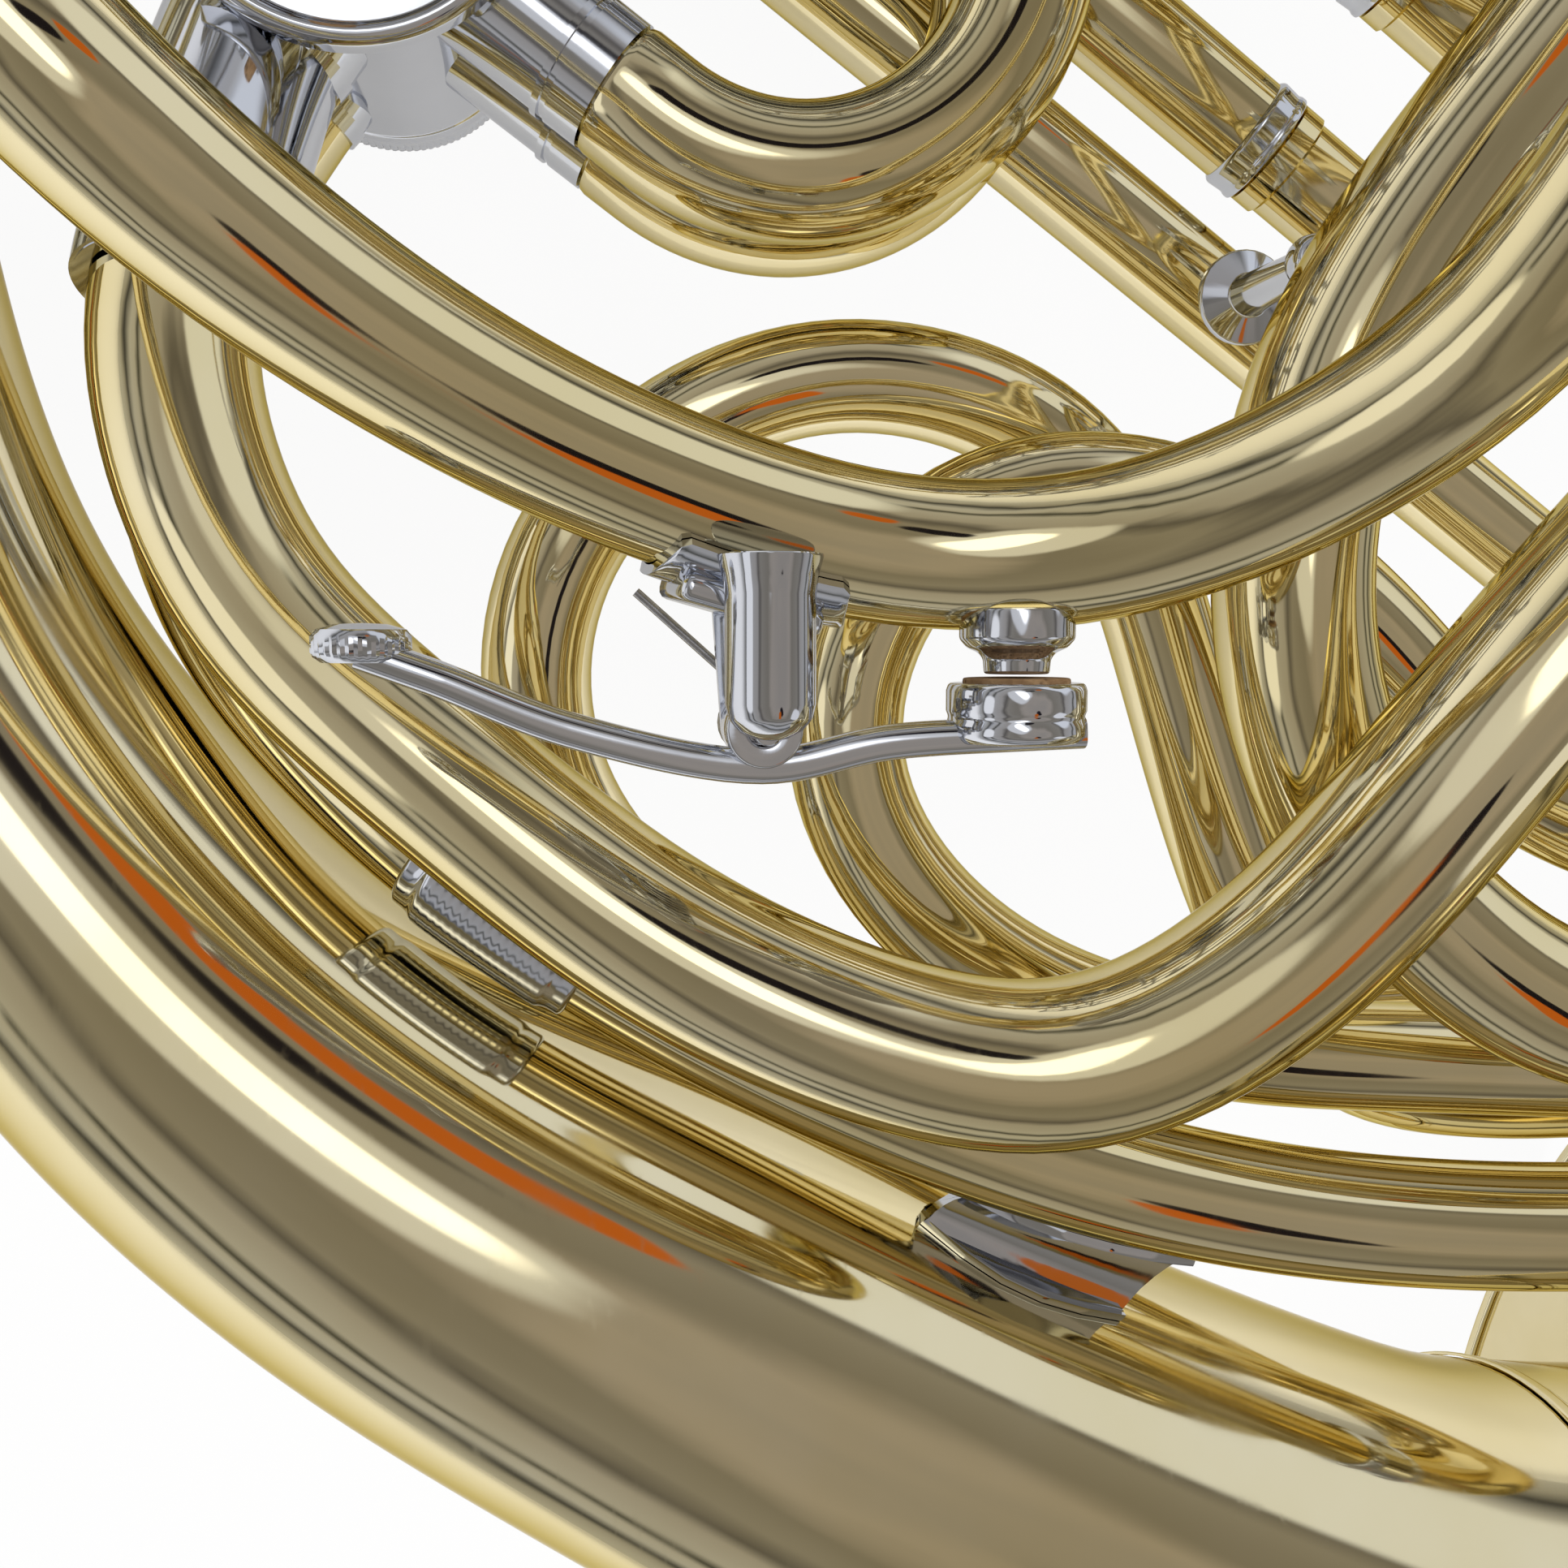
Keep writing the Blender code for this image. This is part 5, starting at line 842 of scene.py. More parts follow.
def valve_ports(index):
    """The ports of one valve: angle, height and tube radius."""
    half = math.radians(45.0)
    ports = []
    if index < 3:
        ports += [(half, UPPER_PORT, SLEEVE_RADIUS), (-half, UPPER_PORT, SLEEVE_RADIUS)]
        ports += [(0.0, LOWER_PORT, SLEEVE_RADIUS), (-half, LOWER_PORT, SLEEVE_RADIUS)]
        ports += [(-3.0 * half, w, LINK_RADIUS) for w in (UPPER_PORT, LOWER_PORT)]
    if index > 0:
        ports += [(3.0 * half, w, LINK_RADIUS) for w in link_ports(index)]
    if index == 0:
        ports.append((0.0, UPPER_PORT, 0.0055))
    if index == 2:
        ports.append((-2.0 * half, LOWER_PORT, 0.0065))
    if index == 3:
        ports += [(-2.0 * half, 0.010, 0.0095), (-2.0 * half, -0.010, 0.0075)]
    return ports


def valve_pieces():
    """Casings with plates, bumpers and caps, and the stop arms on top."""
    for index, row in enumerate(VALVE_ROWS):
        number = index + 1
        bottom = CHANGE_CASING_LOW if index == 3 else CASING_LOW
        plate = CHANGE_PLATE_RADIUS if index == 3 else PLATE_RADIUS
        knob = CHANGE_CAP_RADIUS if index == 3 else 0.0172
        height = CASING_TOP - bottom
        low = at(0.0, row, bottom)
        casing = Form()
        shell = [
            (0.0147, 0.0), (CASING_RADIUS + 0.0003, 0.0), (CASING_RADIUS + 0.0003, 0.0022), (CASING_RADIUS, 0.0026),
            (CASING_RADIUS, height - 0.0038), (CASING_RADIUS + 0.0003, height - 0.0034),
            (CASING_RADIUS + 0.0003, height - 0.0006), (plate, height - 0.0004),
            (plate, height + PLATE_RISE - 0.0009), (plate - 0.0005, height + PLATE_RISE - 0.0002),
            (plate - 0.0013, height + PLATE_RISE), (plate - 0.0020, height + PLATE_RISE - 0.0003),
            (plate - 0.0024, height + 0.0013), (0.0110, height + 0.0016), (0.0060, height + 0.0018),
            (0.0052, height + 0.0020), (0.0050, height + 0.0026), (0.0031, height + 0.0026), (0.0031, height),
            (0.0147, height),
        ]
        casing.turned(shell, low, UP, 96, closed=True)
        for port in valve_ports(index):
            stub(casing, row, *port)
        nodes = [f"valve_casing_{number}"]
        if index == 3:
            for run in crook_sleeves():
                casing.sweep(run, 56)
                length = sum((b[0] - a[0]).length for a, b in zip(run, run[1:]))
                casing.sweep([(point, radius + 0.0002) for point, radius in stretch(run, length - 0.0042, 9.0)], 56)
                casing.sweep([(point, radius + 0.00035) for point, radius in
                              stretch(run, length - 0.0058, length - 0.0050)], 56)
        casing.made(f"horn_valve_{number}", NICKEL, stands_for=nodes)

        cap = Form()
        face = low - UP * GAP
        teeth = 110
        loops = []
        for radius, depth, knurl in (
            (0.00002, 0.0, 0), (knob - 0.0012, 0.0, 0), (knob - 0.0004, 0.0003, 0), (knob - 0.0001, 0.0008, 1),
            (knob - 0.0001, 0.0030, 1), (knob - 0.0004, 0.0036, 0), (knob - 0.0012, 0.0043, 0),
            (knob - 0.0042, 0.0048, 0), (0.0070, 0.0050, 0), (0.00002, 0.0050, 0),
        ):
            ring = []
            for step in range(teeth * 3):
                angle = math.tau * step / (teeth * 3)
                size = radius - knurl * (0.00022 if step % 3 == 0 else 0.0)
                ring.append(face + (SLIDE * math.cos(angle) + ROW * math.sin(angle)) * size - UP * depth)
            loops.append(ring)
        cap.rings(loops)
        cap.made(f"knurled_cap_{number}", NICKEL, stands_for=[f"valve_cap_{number}"])

        corks = Form()
        holder = Form()
        tab = math.radians(-90.0)
        spread = math.radians(24.0)
        for angle in (tab + spread, tab - math.radians(90.0) - spread):
            foot = polar(row, angle, 0.0100, CASING_TOP + 0.0010)
            corks.bar(foot, polar(row, angle, 0.0100, 0.0278), 0.0017, 24)
            holder.turned([(0.0, 0.0), (0.0027, 0.0), (0.0027, 0.0014), (0.0024, 0.0020), (0.0, 0.0020)],
                          foot, UP, 32)
        corks.made(f"bumper_corks_{number}", CORK)
        holder.made(f"bumper_holders_{number}", NICKEL)

        arm = Form()
        base = at(0.0, row, 0.0254)
        disc = [
            (0.0028, 0.0), (0.0075, 0.0), (0.0075, 0.0020), (0.0050, 0.0020), (0.0045, 0.0026), (0.0028, 0.0026),
        ]
        arm.turned(disc, base, UP, 64, closed=True)
        tab_way = SLIDE * math.cos(tab) + ROW * math.sin(tab)
        arm.slab(base + UP * 0.0010 + tab_way * 0.0066, tab_way, UP, (0.0088, 0.0020, 0.0030))
        post = polar(row, math.radians(135.0), 0.0055, 0.0254)
        arm.turned([(0.0, 0.0), (0.0017, 0.0), (0.0015, 0.0024), (0.0015, 0.0036), (0.0012, 0.0039), (0.0, 0.0039)],
                   post, UP, 24)
        arm.turned([(0.0, 0.0), (0.0024, 0.0), (0.0024, 0.0020), (0.0020, 0.0024), (0.0, 0.0024)],
                   base + UP * 0.0004, UP, 24)
        arm.made(f"horn_stop_arm_{number}", NICKEL, f"valve_{number}_rotor", [f"stop_arm_{number}"])


def crook_sleeves():
    """The change valve's four nickel sleeves."""
    legs = []
    for w in CROOK_LAYERS:
        legs.append([(polar(0.0, 0.0, 0.012, w), 0.0072), (at(CROOK_OPEN, CROOK_ROWS[0], w), 0.0072)])
        angle = math.radians(70.0)
        legs.append(bent(
            [polar(0.0, angle, 0.012, w), polar(0.0, angle, 0.0235, w), at(0.0235 * math.cos(angle), CROOK_ROWS[1], w),
             at(CROOK_OPEN, CROOK_ROWS[1], w)], 0.0125, 0.0072))
    return legs


def link_tubes():
    """Tubes between the valves, with a stay between the layers."""
    for index, (upper, lower) in enumerate(zip(VALVE_ROWS, VALVE_ROWS[1:])):
        form = Form()
        for w, far_w in zip(link_ports(index), link_ports(index + 1)):
            reach = min((upper - lower) / 2.0, LINK_REACH)
            route = [polar(lower, math.radians(135.0), PORT_REACH, far_w), at(-reach, lower + reach, far_w)]
            if upper - lower > 2.0 * reach + GAP:
                route.append(at(-reach, upper - reach, w))
            route.append(polar(upper, math.radians(-135.0), PORT_REACH, w))
            form.sweep(bent(route, LINK_BEND, LINK_RADIUS), 48)
        foot = link_middle(upper - lower)
        middle = (upper + lower) / 2.0
        form.turned([(0.0, 0.0), (0.0030, 0.0), (0.0017, 0.002), (0.0017, 0.012), (0.0030, 0.014), (0.0, 0.014)],
                    at(foot, middle, -0.0110), UP, 32)
        form.made(f"horn_valve_links_{index + 1}", BRASS, stands_for=[f"valve_links_{index + 1}"])


def link_middle(spacing):
    """How far behind the valve row the middle of a link tube lies."""
    if spacing > 2.0 * LINK_REACH + GAP:
        return -LINK_REACH
    return LINK_BEND * (math.sqrt(2.0) - 1.0) - spacing / 2.0


# Slides

def bow_run(low_row, high_row, w, open_end, tangent, depth, leg, size):
    """An inner slide: two legs and their bow."""
    middle = (low_row + high_row) / 2.0
    turn = (high_row - low_row) / 2.0
    inner = open_end - depth + 0.0015
    shoulder = open_end + GAP
    half = [(at(inner, low_row, w), leg), (at(shoulder, low_row, w), leg), (at(shoulder + 0.0001, low_row, w), size + 0.0005),
            (at(shoulder + 0.0030, low_row, w), size + 0.0005), (at(shoulder + 0.0034, low_row, w), size)]
    other = [(at(inner, high_row, w), leg), (at(shoulder, high_row, w), leg),
             (at(shoulder + 0.0001, high_row, w), size + 0.0005), (at(shoulder + 0.0030, high_row, w), size + 0.0005),
             (at(shoulder + 0.0034, high_row, w), size)]
    arc = []
    for step in range(41):
        angle = -math.pi / 2.0 + math.pi * step / 40.0
        arc.append((at(tangent + turn * math.cos(angle), middle + turn * math.sin(angle), w), size))
    return half + arc + list(reversed(other))


def open_ring(form, s, row, w, radius):
    """The nickel ring at a sleeve's open end."""
    form.turned(
        [(radius - 0.0012, 0.0), (radius + 0.0001, 0.0), (radius + 0.0006, 0.0006), (radius + 0.0004, 0.0030),
         (radius + 0.0006, 0.0034), (radius + 0.0006, 0.0042), (radius - 0.0009, 0.0042)],
        at(s - 0.0042, row, w), SLIDE, 48, closed=True,
    )


def slide_pieces():
    """F and B flat slides with their sleeves, rings and stays."""
    low = Form()
    high = Form()
    rings = Form()
    stays = Form()
    for index in range(3):
        row = VALVE_ROWS[index]
        low_row = row - F_SPAN
        reach, tangent, depth = F_SLIDES[index]
        w = LOWER_PORT
        low.sweep([(polar(row, 0.0, PORT_REACH, w), SLEEVE_RADIUS), (at(reach, row, w), SLEEVE_RADIUS)], 48)
        low.sweep(bent([polar(row, math.radians(-45.0), PORT_REACH, w), at(F_SPAN, low_row, w),
                        at(reach, low_row, w)], PORT_BEND, SLEEVE_RADIUS), 48)
        for leg_row in (row, low_row):
            open_ring(rings, reach, leg_row, w, SLEEVE_RADIUS)
        Form().sweep(bow_run(low_row, row, w, reach, tangent, depth, LEG_RADIUS, BOW_RADIUS), 48).made(
            f"horn_f_slide_{index + 1}", BRASS, f"f_slide_{index + 1}_body", [f"f_slide_{index + 1}"])
        reach, tangent, depth = B_SLIDES[index]
        w = UPPER_PORT
        for side in (-1.0, 1.0):
            leg_row = row + side * HALF_SPAN
            high.sweep(bent([polar(row, side * math.radians(45.0), PORT_REACH, w), at(HALF_SPAN, leg_row, w),
                             at(reach, leg_row, w)], PORT_BEND, SLEEVE_RADIUS), 48)
            open_ring(rings, reach, leg_row, w, SLEEVE_RADIUS)
        Form().sweep(bow_run(row - HALF_SPAN, row + HALF_SPAN, w, reach, tangent, depth, LEG_RADIUS, BOW_RADIUS),
                     48).made(f"horn_b_flat_slide_{index + 1}", BRASS, f"b_flat_slide_{index + 1}_body",
                              [f"b_flat_slide_{index + 1}"])
    stays.bar(at(0.0355, VALVE_ROWS[2] - F_SPAN, LOWER_PORT), at(0.0355, VALVE_ROWS[0], LOWER_PORT), 0.0017)
    stays.bar(at(0.0440, VALVE_ROWS[2] - HALF_SPAN, UPPER_PORT), at(0.0440, VALVE_ROWS[0] + HALF_SPAN, UPPER_PORT),
              0.0017)
    low.made("horn_f_sleeves", BRASS, stands_for=["f_slide_sleeves"])
    high.made("horn_b_flat_sleeves", BRASS, stands_for=["b_flat_slide_sleeves"])
    rings.made("sleeve_end_rings", NICKEL)
    stays.made("sleeve_stays", NICKEL)


def main_slide():
    """The main tuning slide."""
    row = VALVE_ROWS[0]
    w = MAIN_LAYER
    form = Form()
    form.sweep([(at(0.0185, MAIN_LEG_ROW, w), SLEEVE_RADIUS), (at(MAIN_OPEN, MAIN_LEG_ROW, w), SLEEVE_RADIUS)], 56)
    run = bent([polar(row, 0.0, PORT_REACH, UPPER_PORT), at(0.0265, row, UPPER_PORT), at(0.0420, row, w),
                at(MAIN_OPEN, row, w)], 0.0120, 0.0055)
    run.insert(-1, (at(0.0492, row, w), 0.0055))
    run.insert(-1, (at(0.0496, row, w), SLEEVE_RADIUS))
    run[-1] = (run[-1][0], SLEEVE_RADIUS)
    form.sweep(run, 56)
    form.made("horn_main_sleeves", BRASS, stands_for=["main_slide_sleeves"])
    rings = Form()
    for leg_row in (row, MAIN_LEG_ROW):
        open_ring(rings, MAIN_OPEN, leg_row, w, SLEEVE_RADIUS)
    rings.turned([(0.0, 0.0), (0.0034, 0.0), (0.0017, 0.003), (0.0017, 0.008), (0.0026, 0.0105), (0.0017, 0.013),
                  (0.0017, 0.018), (0.0034, 0.0212), (0.0, 0.0212)], at(0.060, row + 0.0069, w), ROW, 32)
    rings.made("main_slide_rings", NICKEL)
    inner = bow_run(row, MAIN_LEG_ROW, w, MAIN_OPEN, MAIN_TANGENT, 0.041, LEG_RADIUS, BOW_RADIUS)
    Form().sweep(inner, 56).made("horn_main_slide", BRASS, "main_slide_body", ["main_tuning_slide"])


def change_crooks():
    """The two U crooks of the change valve."""
    for side, w in zip(("near", "far"), CROOK_LAYERS):
        middle = (CROOK_ROWS[0] + CROOK_ROWS[1]) / 2.0
        turn = (CROOK_ROWS[1] - CROOK_ROWS[0]) / 2.0
        stops = []
        shoulder = CROOK_OPEN + GAP
        for row in CROOK_ROWS:
            leg = [(at(CROOK_OPEN - 0.0100, row, w), 0.0059), (at(shoulder, row, w), 0.0059),
                   (at(shoulder + 0.0001, row, w), 0.0073), (at(shoulder + 0.0008, row, w), 0.0075)]
            if row == CROOK_ROWS[0]:
                stops += leg
                for step in range(57):
                    angle = -math.pi / 2.0 + math.pi * step / 56.0
                    stops.append((at(CROOK_TANGENT + turn * math.cos(angle), middle + turn * math.sin(angle), w),
                                  0.0075))
            else:
                stops += list(reversed(leg))
        Form().sweep(stops, 72).made(f"horn_crook_{side}", BRASS, f"{side}_crook_body", [f"change_crook_{side}"])


# Levers

def lever_pieces():
    """Bracket, axle, levers and link rods."""
    form = Form()
    form.bar(at(BRACKET_S, POST_ROWS[0] - 0.002, BRACKET_W), at(BRACKET_S, POST_ROWS[-1] + 0.002, BRACKET_W), 0.0024,
             32, 0.0008)
    for row in POST_ROWS:
        form.bar(at(BRACKET_S, row, BRACKET_W), at(AXLE_S, row, AXLE_W - 0.002), 0.0019)
        form.turned([(0.0024, 0.0), (0.0040, 0.0), (0.0043, 0.0006), (0.0043, 0.0034), (0.0040, 0.0040),
                     (0.0024, 0.0040)], at(AXLE_S, row - 0.0020, AXLE_W), ROW, 40, closed=True)
    for low, high in BARRELS:
        span = high - low
        loops = [(0.0024, 0.0), (0.0048, 0.0)]
        turns = max(3, round(span / 0.0009))
        for step in range(turns * 6 + 1):
            share = step / (turns * 6)
            loops.append((0.0046 + 0.0002 * math.cos(math.tau * share * turns), span * share))
        loops += [(0.0048, span), (0.0024, span)]
        form.turned(loops, at(AXLE_S, low, AXLE_W), ROW, 40, closed=True, soft=0.0001)
    spacings = [upper - lower for upper, lower in zip(VALVE_ROWS, VALVE_ROWS[1:])]
    for row, spacing in zip(LEG_ROWS, spacings):
        foot = link_middle(spacing)
        reach = LINK_RADIUS
        way = Vector((0.62, 0.0, -0.785))
        end_s = foot - reach * way.x
        end_w = UPPER_PORT - reach * way.z
        points = [at(BRACKET_S, row, BRACKET_W), at(BRACKET_S + 0.002, row, BRACKET_W - 0.010),
                  at(end_s - 0.008 * way.x, row, end_w - 0.008 * way.z), at(end_s, row, end_w)]
        form.sweep(wound(points, [0.0022, 0.0020, 0.0020, 0.0022], 12), 24)
        foot_way = (points[3] - points[2]).normalized()
        form.turned([(0.0, 0.0), (0.0022, 0.0), (0.0040, 0.0022), (0.0040, 0.0034), (0.0, 0.0034)],
                    points[3] - foot_way * 0.0028, foot_way, 32)
    form.made("horn_lever_bracket", NICKEL, stands_for=["lever_bracket"])
    axle = Form()
    axle.turned([(0.0, 0.0), (0.0024, 0.0004), (0.0030, 0.0014), (0.0030, 0.0022), (0.0020, 0.0024),
                 (0.0020, POST_ROWS[-1] - POST_ROWS[0] + 0.0036), (0.0030, POST_ROWS[-1] - POST_ROWS[0] + 0.0038),
                 (0.0030, POST_ROWS[-1] - POST_ROWS[0] + 0.0046), (0.0024, POST_ROWS[-1] - POST_ROWS[0] + 0.0056),
                 (0.0, POST_ROWS[-1] - POST_ROWS[0] + 0.0060)],
                at(AXLE_S, POST_ROWS[0] - 0.003, AXLE_W), ROW, 32)
    axle.made("horn_lever_axle", STEEL, stands_for=["lever_axle"])

    for index, (row, (low, high, finger)) in enumerate(zip(VALVE_ROWS, HUBS)):
        reach = 0.050 if index == 3 else 0.075
        name = "thumb_lever" if index == 3 else f"finger_lever_{index + 1}"
        span = high - low
        form = Form()
        form.turned([(0.0024, 0.0), (0.0036, 0.0), (0.0036, 0.0018), (0.0032, 0.0022), (0.0032, span - 0.0022),
                     (0.0036, span - 0.0018), (0.0036, span), (0.0024, span)],
                    at(AXLE_S, low, AXLE_W), ROW, 40, closed=True)
        drive_row = row + 0.0082
        form.sweep(wound([at(AXLE_S, drive_row, AXLE_W - 0.0026), at(AXLE_S, drive_row, AXLE_W - 0.010),
                          at(AXLE_S, drive_row, DRIVE_W + 0.006), at(AXLE_S, drive_row, DRIVE_W - 0.0014)],
                         [0.0022, 0.0017, 0.0017, 0.0021], 8), 24)
        form.turned([(0.0, 0.0), (0.0026, 0.0), (0.0026, 0.0016), (0.0, 0.0016)],
                    at(AXLE_S, drive_row + 0.0014, DRIVE_W), ROW, 24)
        form.bar(at(AXLE_S, drive_row, DRIVE_W), at(AXLE_S, row + 0.0022, DRIVE_W), 0.0012, 20)
        paddle_s = AXLE_S - reach + 0.013
        arm = wound([at(AXLE_S - 0.0025, finger, AXLE_W + 0.0010), at(AXLE_S - 0.012, finger, AXLE_W + 0.0035),
                     at(paddle_s + 0.010, finger, AXLE_W + 0.0032), at(paddle_s, finger, AXLE_W + 0.0030)],
                    [0.0019, 0.0018, 0.0017, 0.0016], 10)
        form.sweep(arm, 24)
        paddle(form, paddle_s, finger)
        form.made(f"horn_{name}", NICKEL, name, [name])

        link_row = row + 0.0043
        rod = Form()
        rod.turned([(0.0015, 0.0), (0.0034, 0.0), (0.0034, 0.0030), (0.0015, 0.0030)],
                   at(AXLE_S, link_row - 0.0015, DRIVE_W), ROW, 40, closed=True)
        end = polar(row, math.radians(135.0), 0.0055, 0.0298)
        rod.turned([(0.0, 0.0), (0.0028, 0.0), (0.0030, 0.0006), (0.0030, 0.0016), (0.0026, 0.0021), (0.0, 0.0022)],
                   end, UP, 32)
        rod.turned([(0.0, 0.0), (0.0014, 0.0), (0.0014, 0.0006), (0.0009, 0.0008), (0.0, 0.0008)],
                   end + UP * 0.0021, UP, 24)
        far = end + UP * 0.0012
        near = at(AXLE_S + 0.0026, link_row, DRIVE_W)
        rod.bar(near, far, 0.0011, 20)
        sleeve = (far - near).normalized()
        length = (far - near).length
        rod.turned([(0.0, 0.0), (0.0018, 0.0), (0.0018, length * 0.42), (0.0014, length * 0.48), (0.0, length * 0.48)],
                   near + sleeve * length * 0.16, sleeve, 6, soft=0.0002)
        rod.made(f"horn_link_rod_{index + 1}", STEEL, f"link_{index + 1}", [f"link_rod_{index + 1}"])


def paddle(form, s, row):
    """A finger plate: a rounded, slightly dished plate with a raised edge."""
    length = 0.0260
    width = 0.0160
    loops = []
    count = 72
    outline = []
    for step in range(count):
        angle = math.tau * step / count
        c, d = math.cos(angle), math.sin(angle)
        power = 2.0 / 3.2
        outline.append((abs(c) ** power * math.copysign(length / 2.0, c), abs(d) ** power * math.copysign(width / 2.0, d)))
    for share, height in (
        (0.02, 0.00045), (0.40, 0.00055), (0.70, 0.00085), (0.88, 0.00125), (0.96, 0.00130), (1.0, 0.00085),
        (1.0, 0.00035), (0.97, -0.00010), (0.80, -0.00045), (0.40, -0.00085), (0.02, -0.00095),
    ):
        loops.append([
            at(s + x * share, row + y * share, AXLE_W + 0.0036 + height + 0.0006 * (2.0 * x / length) ** 2 * share)
            for x, y in outline
        ])
    form.rings(loops)


# Water key

def wrap(form, run, place, length, facing, reach, lift):
    """A thin saddle that hugs a tube on one side."""
    loops = []
    count = 24
    for step in range(count + 1):
        share = step / count
        here, size, _, heading = point_at(run, place + (share - 0.5) * length)
        out = (facing - heading * facing.dot(heading)).normalized()
        side = heading.cross(out)
        wide = reach * min(1.0, (math.sin(math.pi * share) * 3.0) ** 0.5 + 0.3)
        rim = [here + (out * math.cos(wide * k / 10.0) + side * math.sin(wide * k / 10.0)) * (size + 0.0001)
               for k in range(-10, 11)]
        rim += [here + (out * math.cos(wide * k / 10.0) + side * math.sin(wide * k / 10.0)) * (size + lift)
                for k in range(10, -11, -1)]
        loops.append(rim)
    form.rings(loops)


